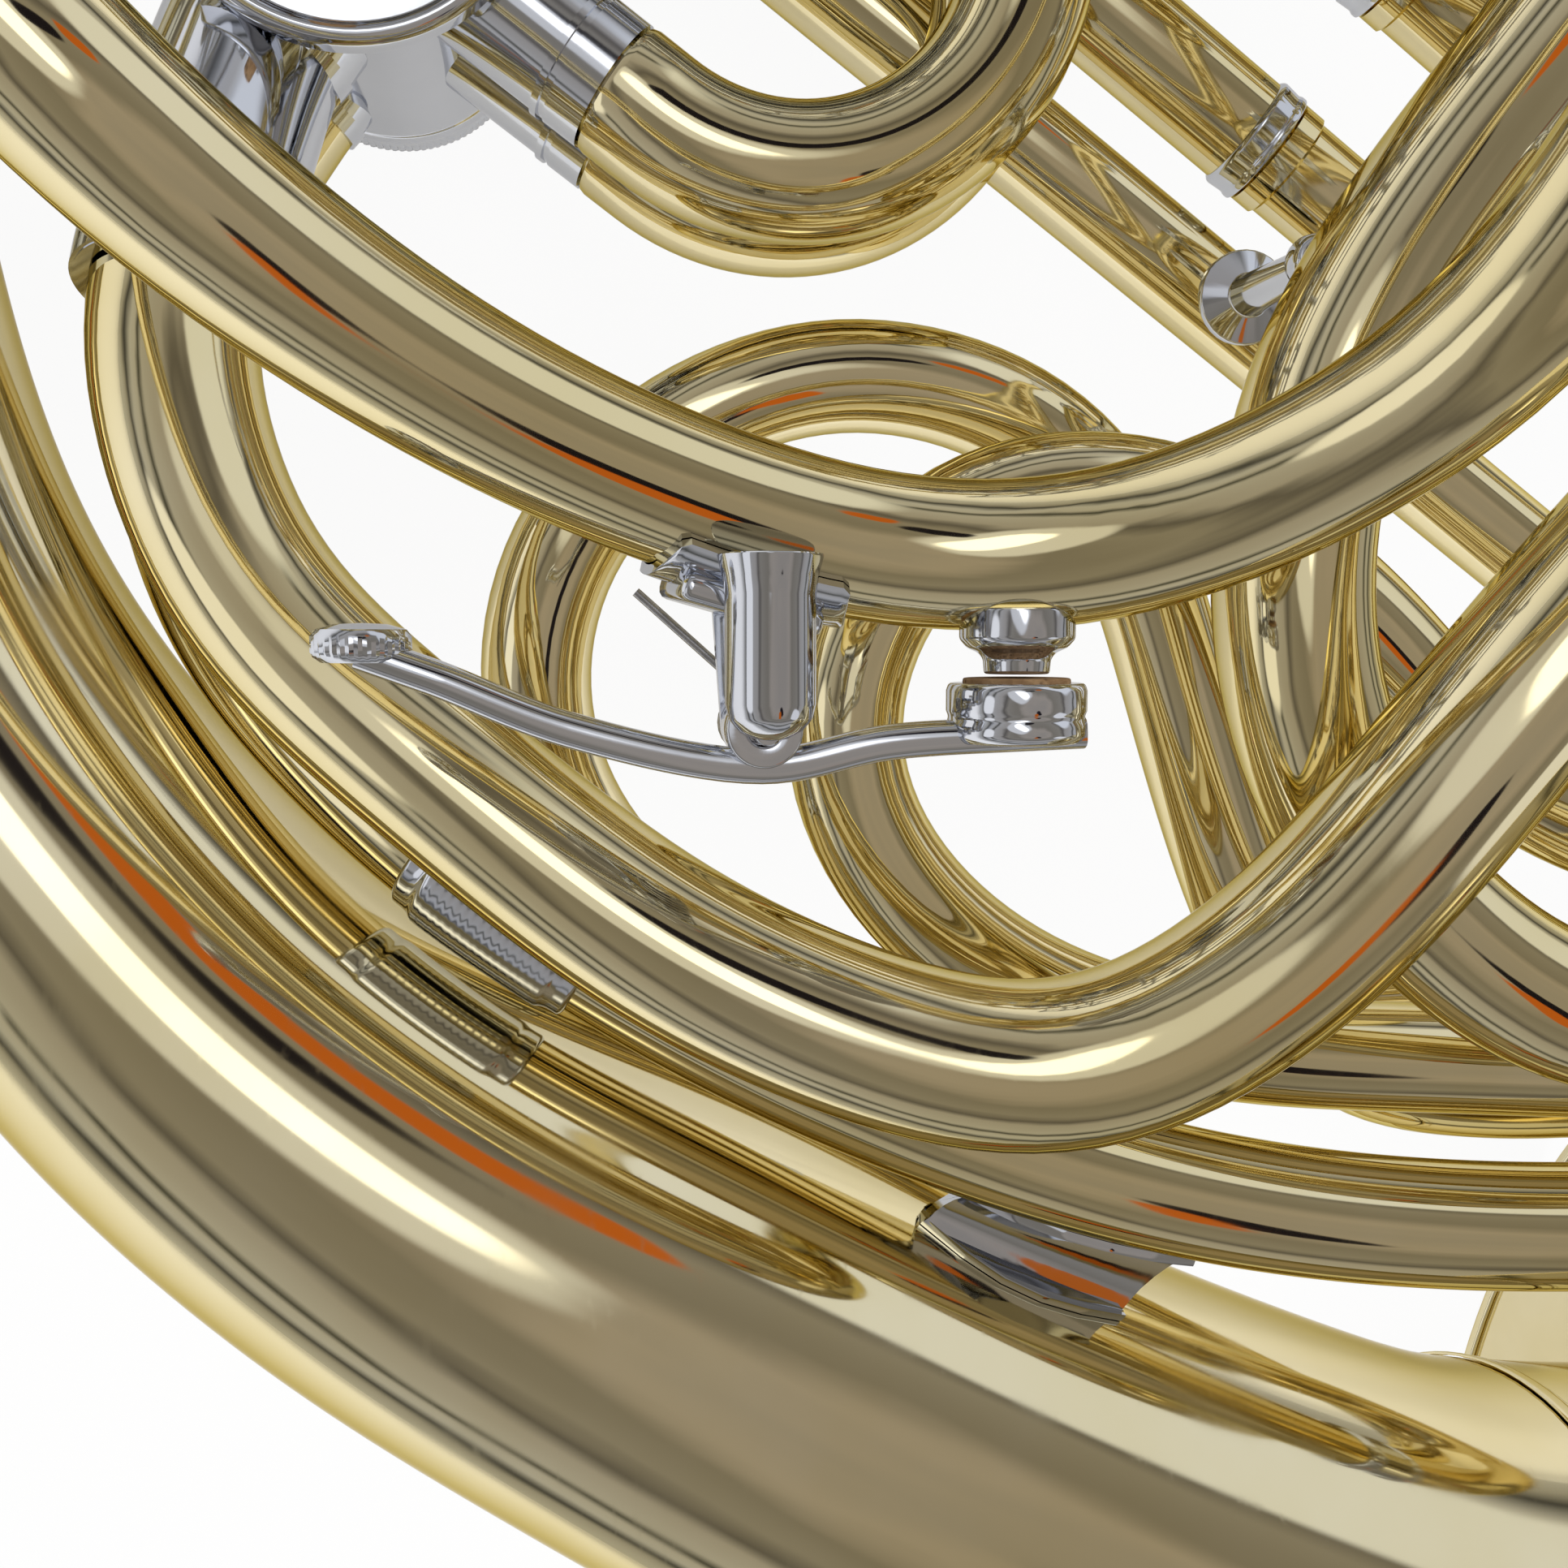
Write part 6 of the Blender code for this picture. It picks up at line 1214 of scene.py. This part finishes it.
def water_key():
    """The water key under the leadpipe."""
    pipe, radius, place, way = nearest(LEADPIPE, Vector((KEY_PIVOT.x, KEY_PIVOT.y + 0.015, KEY_PIVOT.z)))
    square = Vector((way.y, -way.x, 0.0)).normalized()
    if square.y > 0:
        square = -square
    side = Vector((1.0, 0.0, 0.0))
    saddle = Form()
    base = pipe + square * (radius + 0.0008)
    saddle.slab(base, way, square, (0.0115, 0.0022, 0.0094), 0.0008)
    wrap(saddle, LEADPIPE, place, 0.0150, square, 0.95, 0.0009)
    top = base.y
    rise = pipe.y - 0.0030 - KEY_PIVOT.y
    saddle.turned([(0.0, 0.0), (0.0040, 0.0), (0.0036, 0.0016), (0.0034, 0.0030), (0.0034, rise - 0.0022),
                   (0.0031, rise - 0.0010), (0.0024, rise - 0.0002), (0.0013, rise + 0.0004), (0.0, rise + 0.0006)],
                  Vector((KEY_PIVOT.x, pipe.y - 0.0030, KEY_PIVOT.z + 0.0064)), DOWN_FRAME, 48)
    for sign in (-1.0,):
        loops = []
        for thick in (-0.0007, 0.0007):
            ring = []
            for step in range(25):
                angle = math.pi * step / 24.0
                ring.append(Vector((KEY_PIVOT.x + 0.0029 * math.cos(angle), KEY_PIVOT.y - 0.0029 * math.sin(angle),
                                    KEY_PIVOT.z + sign * 0.0038 + thick)))
            ring.append(Vector((KEY_PIVOT.x - 0.0036, top + 0.0002, KEY_PIVOT.z + sign * 0.0038 + thick)))
            ring.append(Vector((KEY_PIVOT.x + 0.0036, top + 0.0002, KEY_PIVOT.z + sign * 0.0038 + thick)))
            loops.append(ring)
        saddle.rings(loops)
    saddle.turned([(0.0, 0.0), (0.0017, 0.0003), (0.0019, 0.0010), (0.0011, 0.0013), (0.0011, 0.0160),
                   (0.0, 0.0160)], KEY_PIVOT - UP * 0.0110, UP, 24)
    saddle.made("key_saddle", NICKEL, stands_for=["water_key_saddle"])

    foot, size, _, _ = nearest(LEADPIPE, Vector((KEY_CUP.x, KEY_CUP.y + 0.012, KEY_CUP.z)))
    nipple_top = Vector((KEY_CUP.x, foot.y - size - 0.0005, KEY_CUP.z))
    nipple = Form()
    nipple.turned([(0.0, -0.0022), (0.0046, -0.0022), (0.0046, 0.0002), (0.0040, 0.0009), (0.0031, 0.0013),
                   (0.0027, 0.0018), (0.0026, 0.0030), (0.0016, 0.0030), (0.0014, 0.0010), (0.0, 0.0010)],
                  nipple_top, DOWN_FRAME, 48)
    nipple.made("key_nipple", NICKEL)

    cork_face = nipple_top + DOWN_FRAME * 0.0033
    Form().turned([(0.0, 0.0), (0.0043, 0.0), (0.0043, 0.0022), (0.0, 0.0022)], cork_face, DOWN_FRAME, 40).made(
        "key_cork", CORK, "water_key", ["water_key_cork"])
    lever = Form()
    lever.turned([(0.0046, 0.0), (0.0054, 0.0), (0.0056, 0.0006), (0.0056, 0.0022), (0.0054, 0.0027),
                  (0.0056, 0.0033), (0.0056, 0.0042), (0.0050, 0.0048), (0.0, 0.0049), (0.0, 0.0028),
                  (0.0046, 0.0026)],
                 cork_face + DOWN_FRAME * 0.0004, DOWN_FRAME, 56, soft=0.0003)
    floor = cork_face + DOWN_FRAME * 0.0045
    points = [floor + Vector((0.0052, 0.0002, 0.0)), floor, Vector((-0.058, floor.y - 0.0006, KEY_CUP.z)),
              Vector((KEY_PIVOT.x, -0.0655, KEY_PIVOT.z)), Vector((-0.083, -0.0625, KEY_TOUCH.z)),
              Vector((-0.093, -0.0585, KEY_TOUCH.z)), KEY_TOUCH]
    run = wound(points, [0.0017] * len(points), 10)
    loops = []
    for number, (spot, _) in enumerate(run):
        ahead = run[min(number + 1, len(run) - 1)][0] - run[max(number - 1, 0)][0]
        heading = ahead.normalized()
        thin = heading.cross(UP).normalized()
        share = number / (len(run) - 1)
        wide = 0.0024 - 0.0008 * math.sin(math.pi * share)
        ring = []
        for step in range(20):
            angle = math.tau * step / 20.0
            c, d = math.cos(angle), math.sin(angle)
            ring.append(spot + UP * math.copysign(abs(c) ** 0.6, c) * wide
                        + thin * math.copysign(abs(d) ** 0.6, d) * 0.0014)
        loops.append(ring)
    lever.rings(loops)
    lever.turned([(0.0013, 0.0), (0.0029, 0.0), (0.0030, 0.0003), (0.0030, 0.0051), (0.0029, 0.0054),
                  (0.0013, 0.0054)], KEY_PIVOT - UP * 0.0027, UP, 40, closed=True)
    teeth = []
    for radius, height, knurl in (
        (0.00002, 0.0, 0), (0.0030, 0.0, 0), (0.0035, 0.0004, 1), (0.0037, 0.0008, 1), (0.0037, 0.0020, 1),
        (0.0034, 0.0025, 0), (0.0020, 0.0029, 0), (0.00002, 0.0030, 0),
    ):
        ring = []
        for step in range(72):
            angle = math.tau * step / 72.0
            size = radius + knurl * (0.00006 if step % 2 else -0.00006)
            ring.append(KEY_TOUCH + Vector((size * math.cos(angle), -0.0008 + height, size * math.sin(angle))))
        teeth.append(ring)
    lever.rings(teeth)
    lever.made("key_lever", NICKEL, "water_key", ["water_key_lever"])

    coil = []
    for step in range(3 * 24 + 13):
        angle = math.tau * step / 24.0 - math.pi / 2.0
        coil.append(KEY_PIVOT + Vector((0.0024 * math.cos(angle), 0.0024 * math.sin(angle),
                                        -0.0055 - 0.0013 * step / 24.0)))
    ends = [coil[0] + Vector((-0.0095, -0.0006, 0.0))] + coil + [coil[-1] + Vector((-0.0095, 0.0085, 0.0))]
    Form().sweep([(spot, 0.0004) for spot in ends], 12).made("key_spring", STEEL, stands_for=["water_key_spring"])


def finger_hook():
    """The little finger's hook on the leadpipe."""
    foot, radius, _, _ = nearest(LEADPIPE, Vector((-0.148, 0.136, 0.025)))
    start = foot + UP * (radius + 0.0001)
    inward = Vector((0.75, -0.66, 0.0))
    points = [start, start + UP * 0.010, start + UP * 0.020 - inward * 0.006, start + UP * 0.032 - inward * 0.004,
              start + UP * 0.036 + inward * 0.008, start + UP * 0.030 + inward * 0.018]
    form = Form()
    run = wound(points, [0.0024, 0.0022, 0.0021, 0.0021, 0.0021, 0.0019], 12)
    form.sweep(run, 28)
    form.turned([(0.0, -0.0010), (0.0052, -0.0010), (0.0052, 0.0008), (0.0030, 0.0016), (0.0022, 0.0030), (0.0, 0.0030)],
                start, UP, 40)
    tip, _ = run[-1]
    form.turned([(0.0, -0.0012), (0.0018, -0.0006), (0.0023, 0.0006), (0.0018, 0.0018), (0.0, 0.0024)], tip,
                (run[-1][0] - run[-2][0]), 28)
    form.made("horn_finger_hook", NICKEL, stands_for=["little_finger_hook"])


bell_pieces()
long_tubes()
mouth_end()
valve_pieces()
link_tubes()
slide_pieces()
main_slide()
change_crooks()
lever_pieces()
water_key()
finger_hook()
for name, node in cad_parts.items():
    node.data.materials.clear()
    node.data.materials.append(BRASS[0] if name.startswith("rotor") else NICKEL[0])


# Studio

class Room:
    """The room round the horn: walls and ceiling with soft uneven bands, and patches such as a window."""

    def __init__(self, tree):
        self.tree = tree
        self.way = self.node("ShaderNodeTexCoord").outputs["Generated"]
        noise = self.node("ShaderNodeTexNoise")
        noise.inputs["Scale"].default_value = 2.6
        noise.inputs["Detail"].default_value = 2.0
        self.link(self.way, noise.inputs["Vector"])
        self.uneven = noise.outputs["Fac"]

    def node(self, kind, operation=None):
        made = self.tree.nodes.new(kind)
        if operation:
            made.operation = operation
        return made

    def link(self, source, slot):
        if isinstance(source, (int, float)):
            slot.default_value = source
        else:
            self.tree.links.new(source, slot)

    def sum(self, operation, *values):
        made = self.node("ShaderNodeMath", operation)
        for value, slot in zip(values, made.inputs):
            self.link(value, slot)
        return made.outputs[0]

    def walls(self, stops):
        """Colours by height, with the height shifted a little by noise."""
        parts = self.node("ShaderNodeSeparateXYZ")
        self.link(self.way, parts.inputs[0])
        height = self.sum("MULTIPLY_ADD", parts.outputs["Z"], 0.5, 0.5)
        shifted = self.sum("ADD", height, self.sum("MULTIPLY_ADD", self.uneven, 0.10, -0.05))
        ramp = self.node("ShaderNodeValToRGB")
        while len(ramp.color_ramp.elements) < len(stops):
            ramp.color_ramp.elements.new(0.5)
        for element, (spot, colour) in zip(ramp.color_ramp.elements, stops):
            element.position = spot
            element.color = (*colour, 1.0)
        self.link(shifted, ramp.inputs["Fac"])
        return ramp.outputs["Color"]

    def patch(self, under, turn_angle, height, size, tint):
        """A soft edged patch of light or dark in one direction, over the colour under it."""
        towards = Vector((math.cos(height) * math.cos(turn_angle), math.cos(height) * math.sin(turn_angle),
                          math.sin(height)))
        mapping = self.node("ShaderNodeMapping")
        mapping.vector_type = "TEXTURE"
        mapping.inputs["Rotation"].default_value = towards.to_track_quat("Z", "Y").to_euler()
        mapping.inputs["Scale"].default_value = (size[0], size[1], 1.0)
        self.link(self.way, mapping.inputs["Vector"])
        parts = self.node("ShaderNodeSeparateXYZ")
        self.link(mapping.outputs[0], parts.inputs[0])
        across = self.sum("POWER", self.sum("ABSOLUTE", parts.outputs["X"]), 3.0)
        over = self.sum("POWER", self.sum("ABSOLUTE", parts.outputs["Y"]), 3.0)
        behind = self.sum("MULTIPLY", self.sum("LESS_THAN", parts.outputs["Z"], 0.0), 9.0)
        reach = self.sum("ADD", self.sum("ADD", across, over), behind)
        reach = self.sum("ADD", reach, self.sum("MULTIPLY_ADD", self.uneven, 0.8, -0.4))
        fade = self.node("ShaderNodeMapRange")
        fade.interpolation_type = "SMOOTHSTEP"
        for name, value in (("From Min", 0.6), ("From Max", 1.2), ("To Min", 1.0), ("To Max", 0.0)):
            fade.inputs[name].default_value = value
        self.link(reach, fade.inputs["Value"])
        mix = self.node("ShaderNodeMix")
        mix.data_type = "RGBA"
        self.link(fade.outputs["Result"], mix.inputs[0])
        self.link(under, mix.inputs[6])
        mix.inputs[7].default_value = (*tint, 1.0)
        return mix.outputs[2]


def studio():
    """Pale floor, soft lamps and a pale room for the metal to reflect."""
    floor_mesh = bpy.data.meshes.new("floor")
    reach = 4.0
    floor_mesh.from_pydata([(-reach, -reach, 0.0), (reach, -reach, 0.0), (reach, reach, 0.0), (-reach, reach, 0.0)],
                           [], [(0, 1, 2, 3)])
    floor = bpy.data.objects.new("floor", floor_mesh)
    floor.location.z = -0.0002
    bpy.context.scene.collection.objects.link(floor)
    paint = bpy.data.materials.new("pale_floor")
    paint.use_nodes = True
    tree = paint.node_tree
    base = tree.nodes["Principled BSDF"]
    base.inputs["Base Color"].default_value = (0.90, 0.90, 0.90, 1.0)
    base.inputs["Roughness"].default_value = 0.9
    glow = tree.nodes.new("ShaderNodeEmission")
    glow.inputs["Color"].default_value = (1.0, 1.0, 1.0, 1.0)
    path = tree.nodes.new("ShaderNodeLightPath")
    either = tree.nodes.new("ShaderNodeMath")
    either.operation = "MAXIMUM"
    tree.links.new(path.outputs["Is Camera Ray"], either.inputs[0])
    tree.links.new(path.outputs["Is Glossy Ray"], either.inputs[1])
    seen = tree.nodes.new("ShaderNodeMath")
    seen.operation = "MULTIPLY"
    seen.inputs[1].default_value = 0.46
    tree.links.new(either.outputs[0], seen.inputs[0])
    share = tree.nodes.new("ShaderNodeMath")
    share.operation = "MULTIPLY_ADD"
    share.inputs[1].default_value = 0.48
    tree.links.new(path.outputs["Is Camera Ray"], share.inputs[0])
    tree.links.new(seen.outputs[0], share.inputs[2])
    mix = tree.nodes.new("ShaderNodeMixShader")
    tree.links.new(share.outputs[0], mix.inputs[0])
    tree.links.new(base.outputs[0], mix.inputs[1])
    tree.links.new(glow.outputs[0], mix.inputs[2])
    tree.links.new(mix.outputs[0], tree.nodes["Material Output"].inputs["Surface"])
    floor_mesh.materials.append(paint)

    world = bpy.data.worlds.new("room")
    bpy.context.scene.world = world
    world.use_nodes = True
    tree = world.node_tree
    sky = tree.nodes["Background"]
    room = Room(tree)
    colour = room.walls((
        (0.0, (0.45, 0.45, 0.46)), (0.495, (0.46, 0.46, 0.46)), (0.53, (0.34, 0.33, 0.31)), (0.56, (0.05, 0.05, 0.05)),
        (0.60, (0.46, 0.46, 0.47)), (0.635, (0.44, 0.43, 0.42)), (0.66, (0.05, 0.05, 0.04)), (0.69, (0.42, 0.41, 0.40)),
        (0.78, (0.36, 0.34, 0.32)), (0.82, (0.12, 0.11, 0.10)), (0.86, (0.26, 0.24, 0.21)), (0.93, (0.22, 0.20, 0.17)),
        (0.97, (0.36, 0.32, 0.28)), (1.0, (0.32, 0.29, 0.26)),
    ))
    for turn_angle, height, size, tint in (
        (45.0, 27.0, (0.50, 0.26), (0.76, 0.78, 0.82)),
        (134.0, 54.0, (0.28, 0.32), (0.70, 0.70, 0.71)),
        (128.0, 56.0, (0.12, 0.24), (1.8, 1.8, 1.8)),
        (182.0, 14.0, (0.30, 0.16), (0.95, 0.95, 0.96)),
        (100.0, 52.0, (0.14, 0.06), (0.012, 0.010, 0.014)),
        (78.0, 47.0, (0.08, 0.06), (0.50, 0.12, 0.015)),
        (292.0, 75.0, (0.06, 0.12), (0.012, 0.010, 0.014)),
        (276.0, 70.0, (0.05, 0.11), (0.50, 0.12, 0.015)),
        (330.0, 40.0, (0.16, 0.20), (0.80, 0.80, 0.82)),
    ):
        colour = room.patch(colour, math.radians(turn_angle), math.radians(height), size, tint)
    tree.links.new(colour, sky.inputs["Color"])
    sky.inputs["Strength"].default_value = 1.0

    for name, spot, aim, size, power in (
        ("key_lamp", (-0.9, -0.6, 1.3), (0.0, 0.0, 0.1), (0.9, 0.35), 14.0),
        ("fill_lamp", (1.0, 0.9, 1.1), (0.0, 0.0, 0.1), (0.8, 0.5), 9.0),
        ("strip_lamp", (0.3, -1.2, 0.9), (0.0, 0.0, 0.1), (1.2, 0.15), 7.0),
    ):
        lamp = bpy.data.lights.new(name, "AREA")
        lamp.shape = "RECTANGLE"
        lamp.size, lamp.size_y = size
        lamp.energy = power
        holder = bpy.data.objects.new(name, lamp)
        holder.location = spot
        holder.rotation_euler = (Vector(aim) - Vector(spot)).to_track_quat("-Z", "Y").to_euler()
        holder.visible_glossy = False
        bpy.context.scene.collection.objects.link(holder)


def photo_camera():
    """The camera, close over the horn's lower left quarter."""
    eye = Vector((-0.0806, -0.0554, 0.185))
    forward = Vector((0.1194, -0.0957, -0.9882)).normalized()
    right = Vector((0.9928, 0.0, 0.12)).normalized()
    down = forward.cross(right)
    turn = Matrix((right, -down, -forward)).transposed().to_4x4()
    lens = bpy.data.cameras.new("photo_camera")
    lens.lens = 35.0
    lens.sensor_width = 36.0
    lens.clip_start = 0.005
    lens.clip_end = 20.0
    camera = bpy.data.objects.new("photo_camera", lens)
    camera.matrix_world = LAY @ Matrix.Translation(eye) @ turn
    bpy.context.scene.collection.objects.link(camera)
    bpy.context.scene.camera = camera


studio()
photo_camera()
bpy.context.scene.view_settings.view_transform = "Standard"
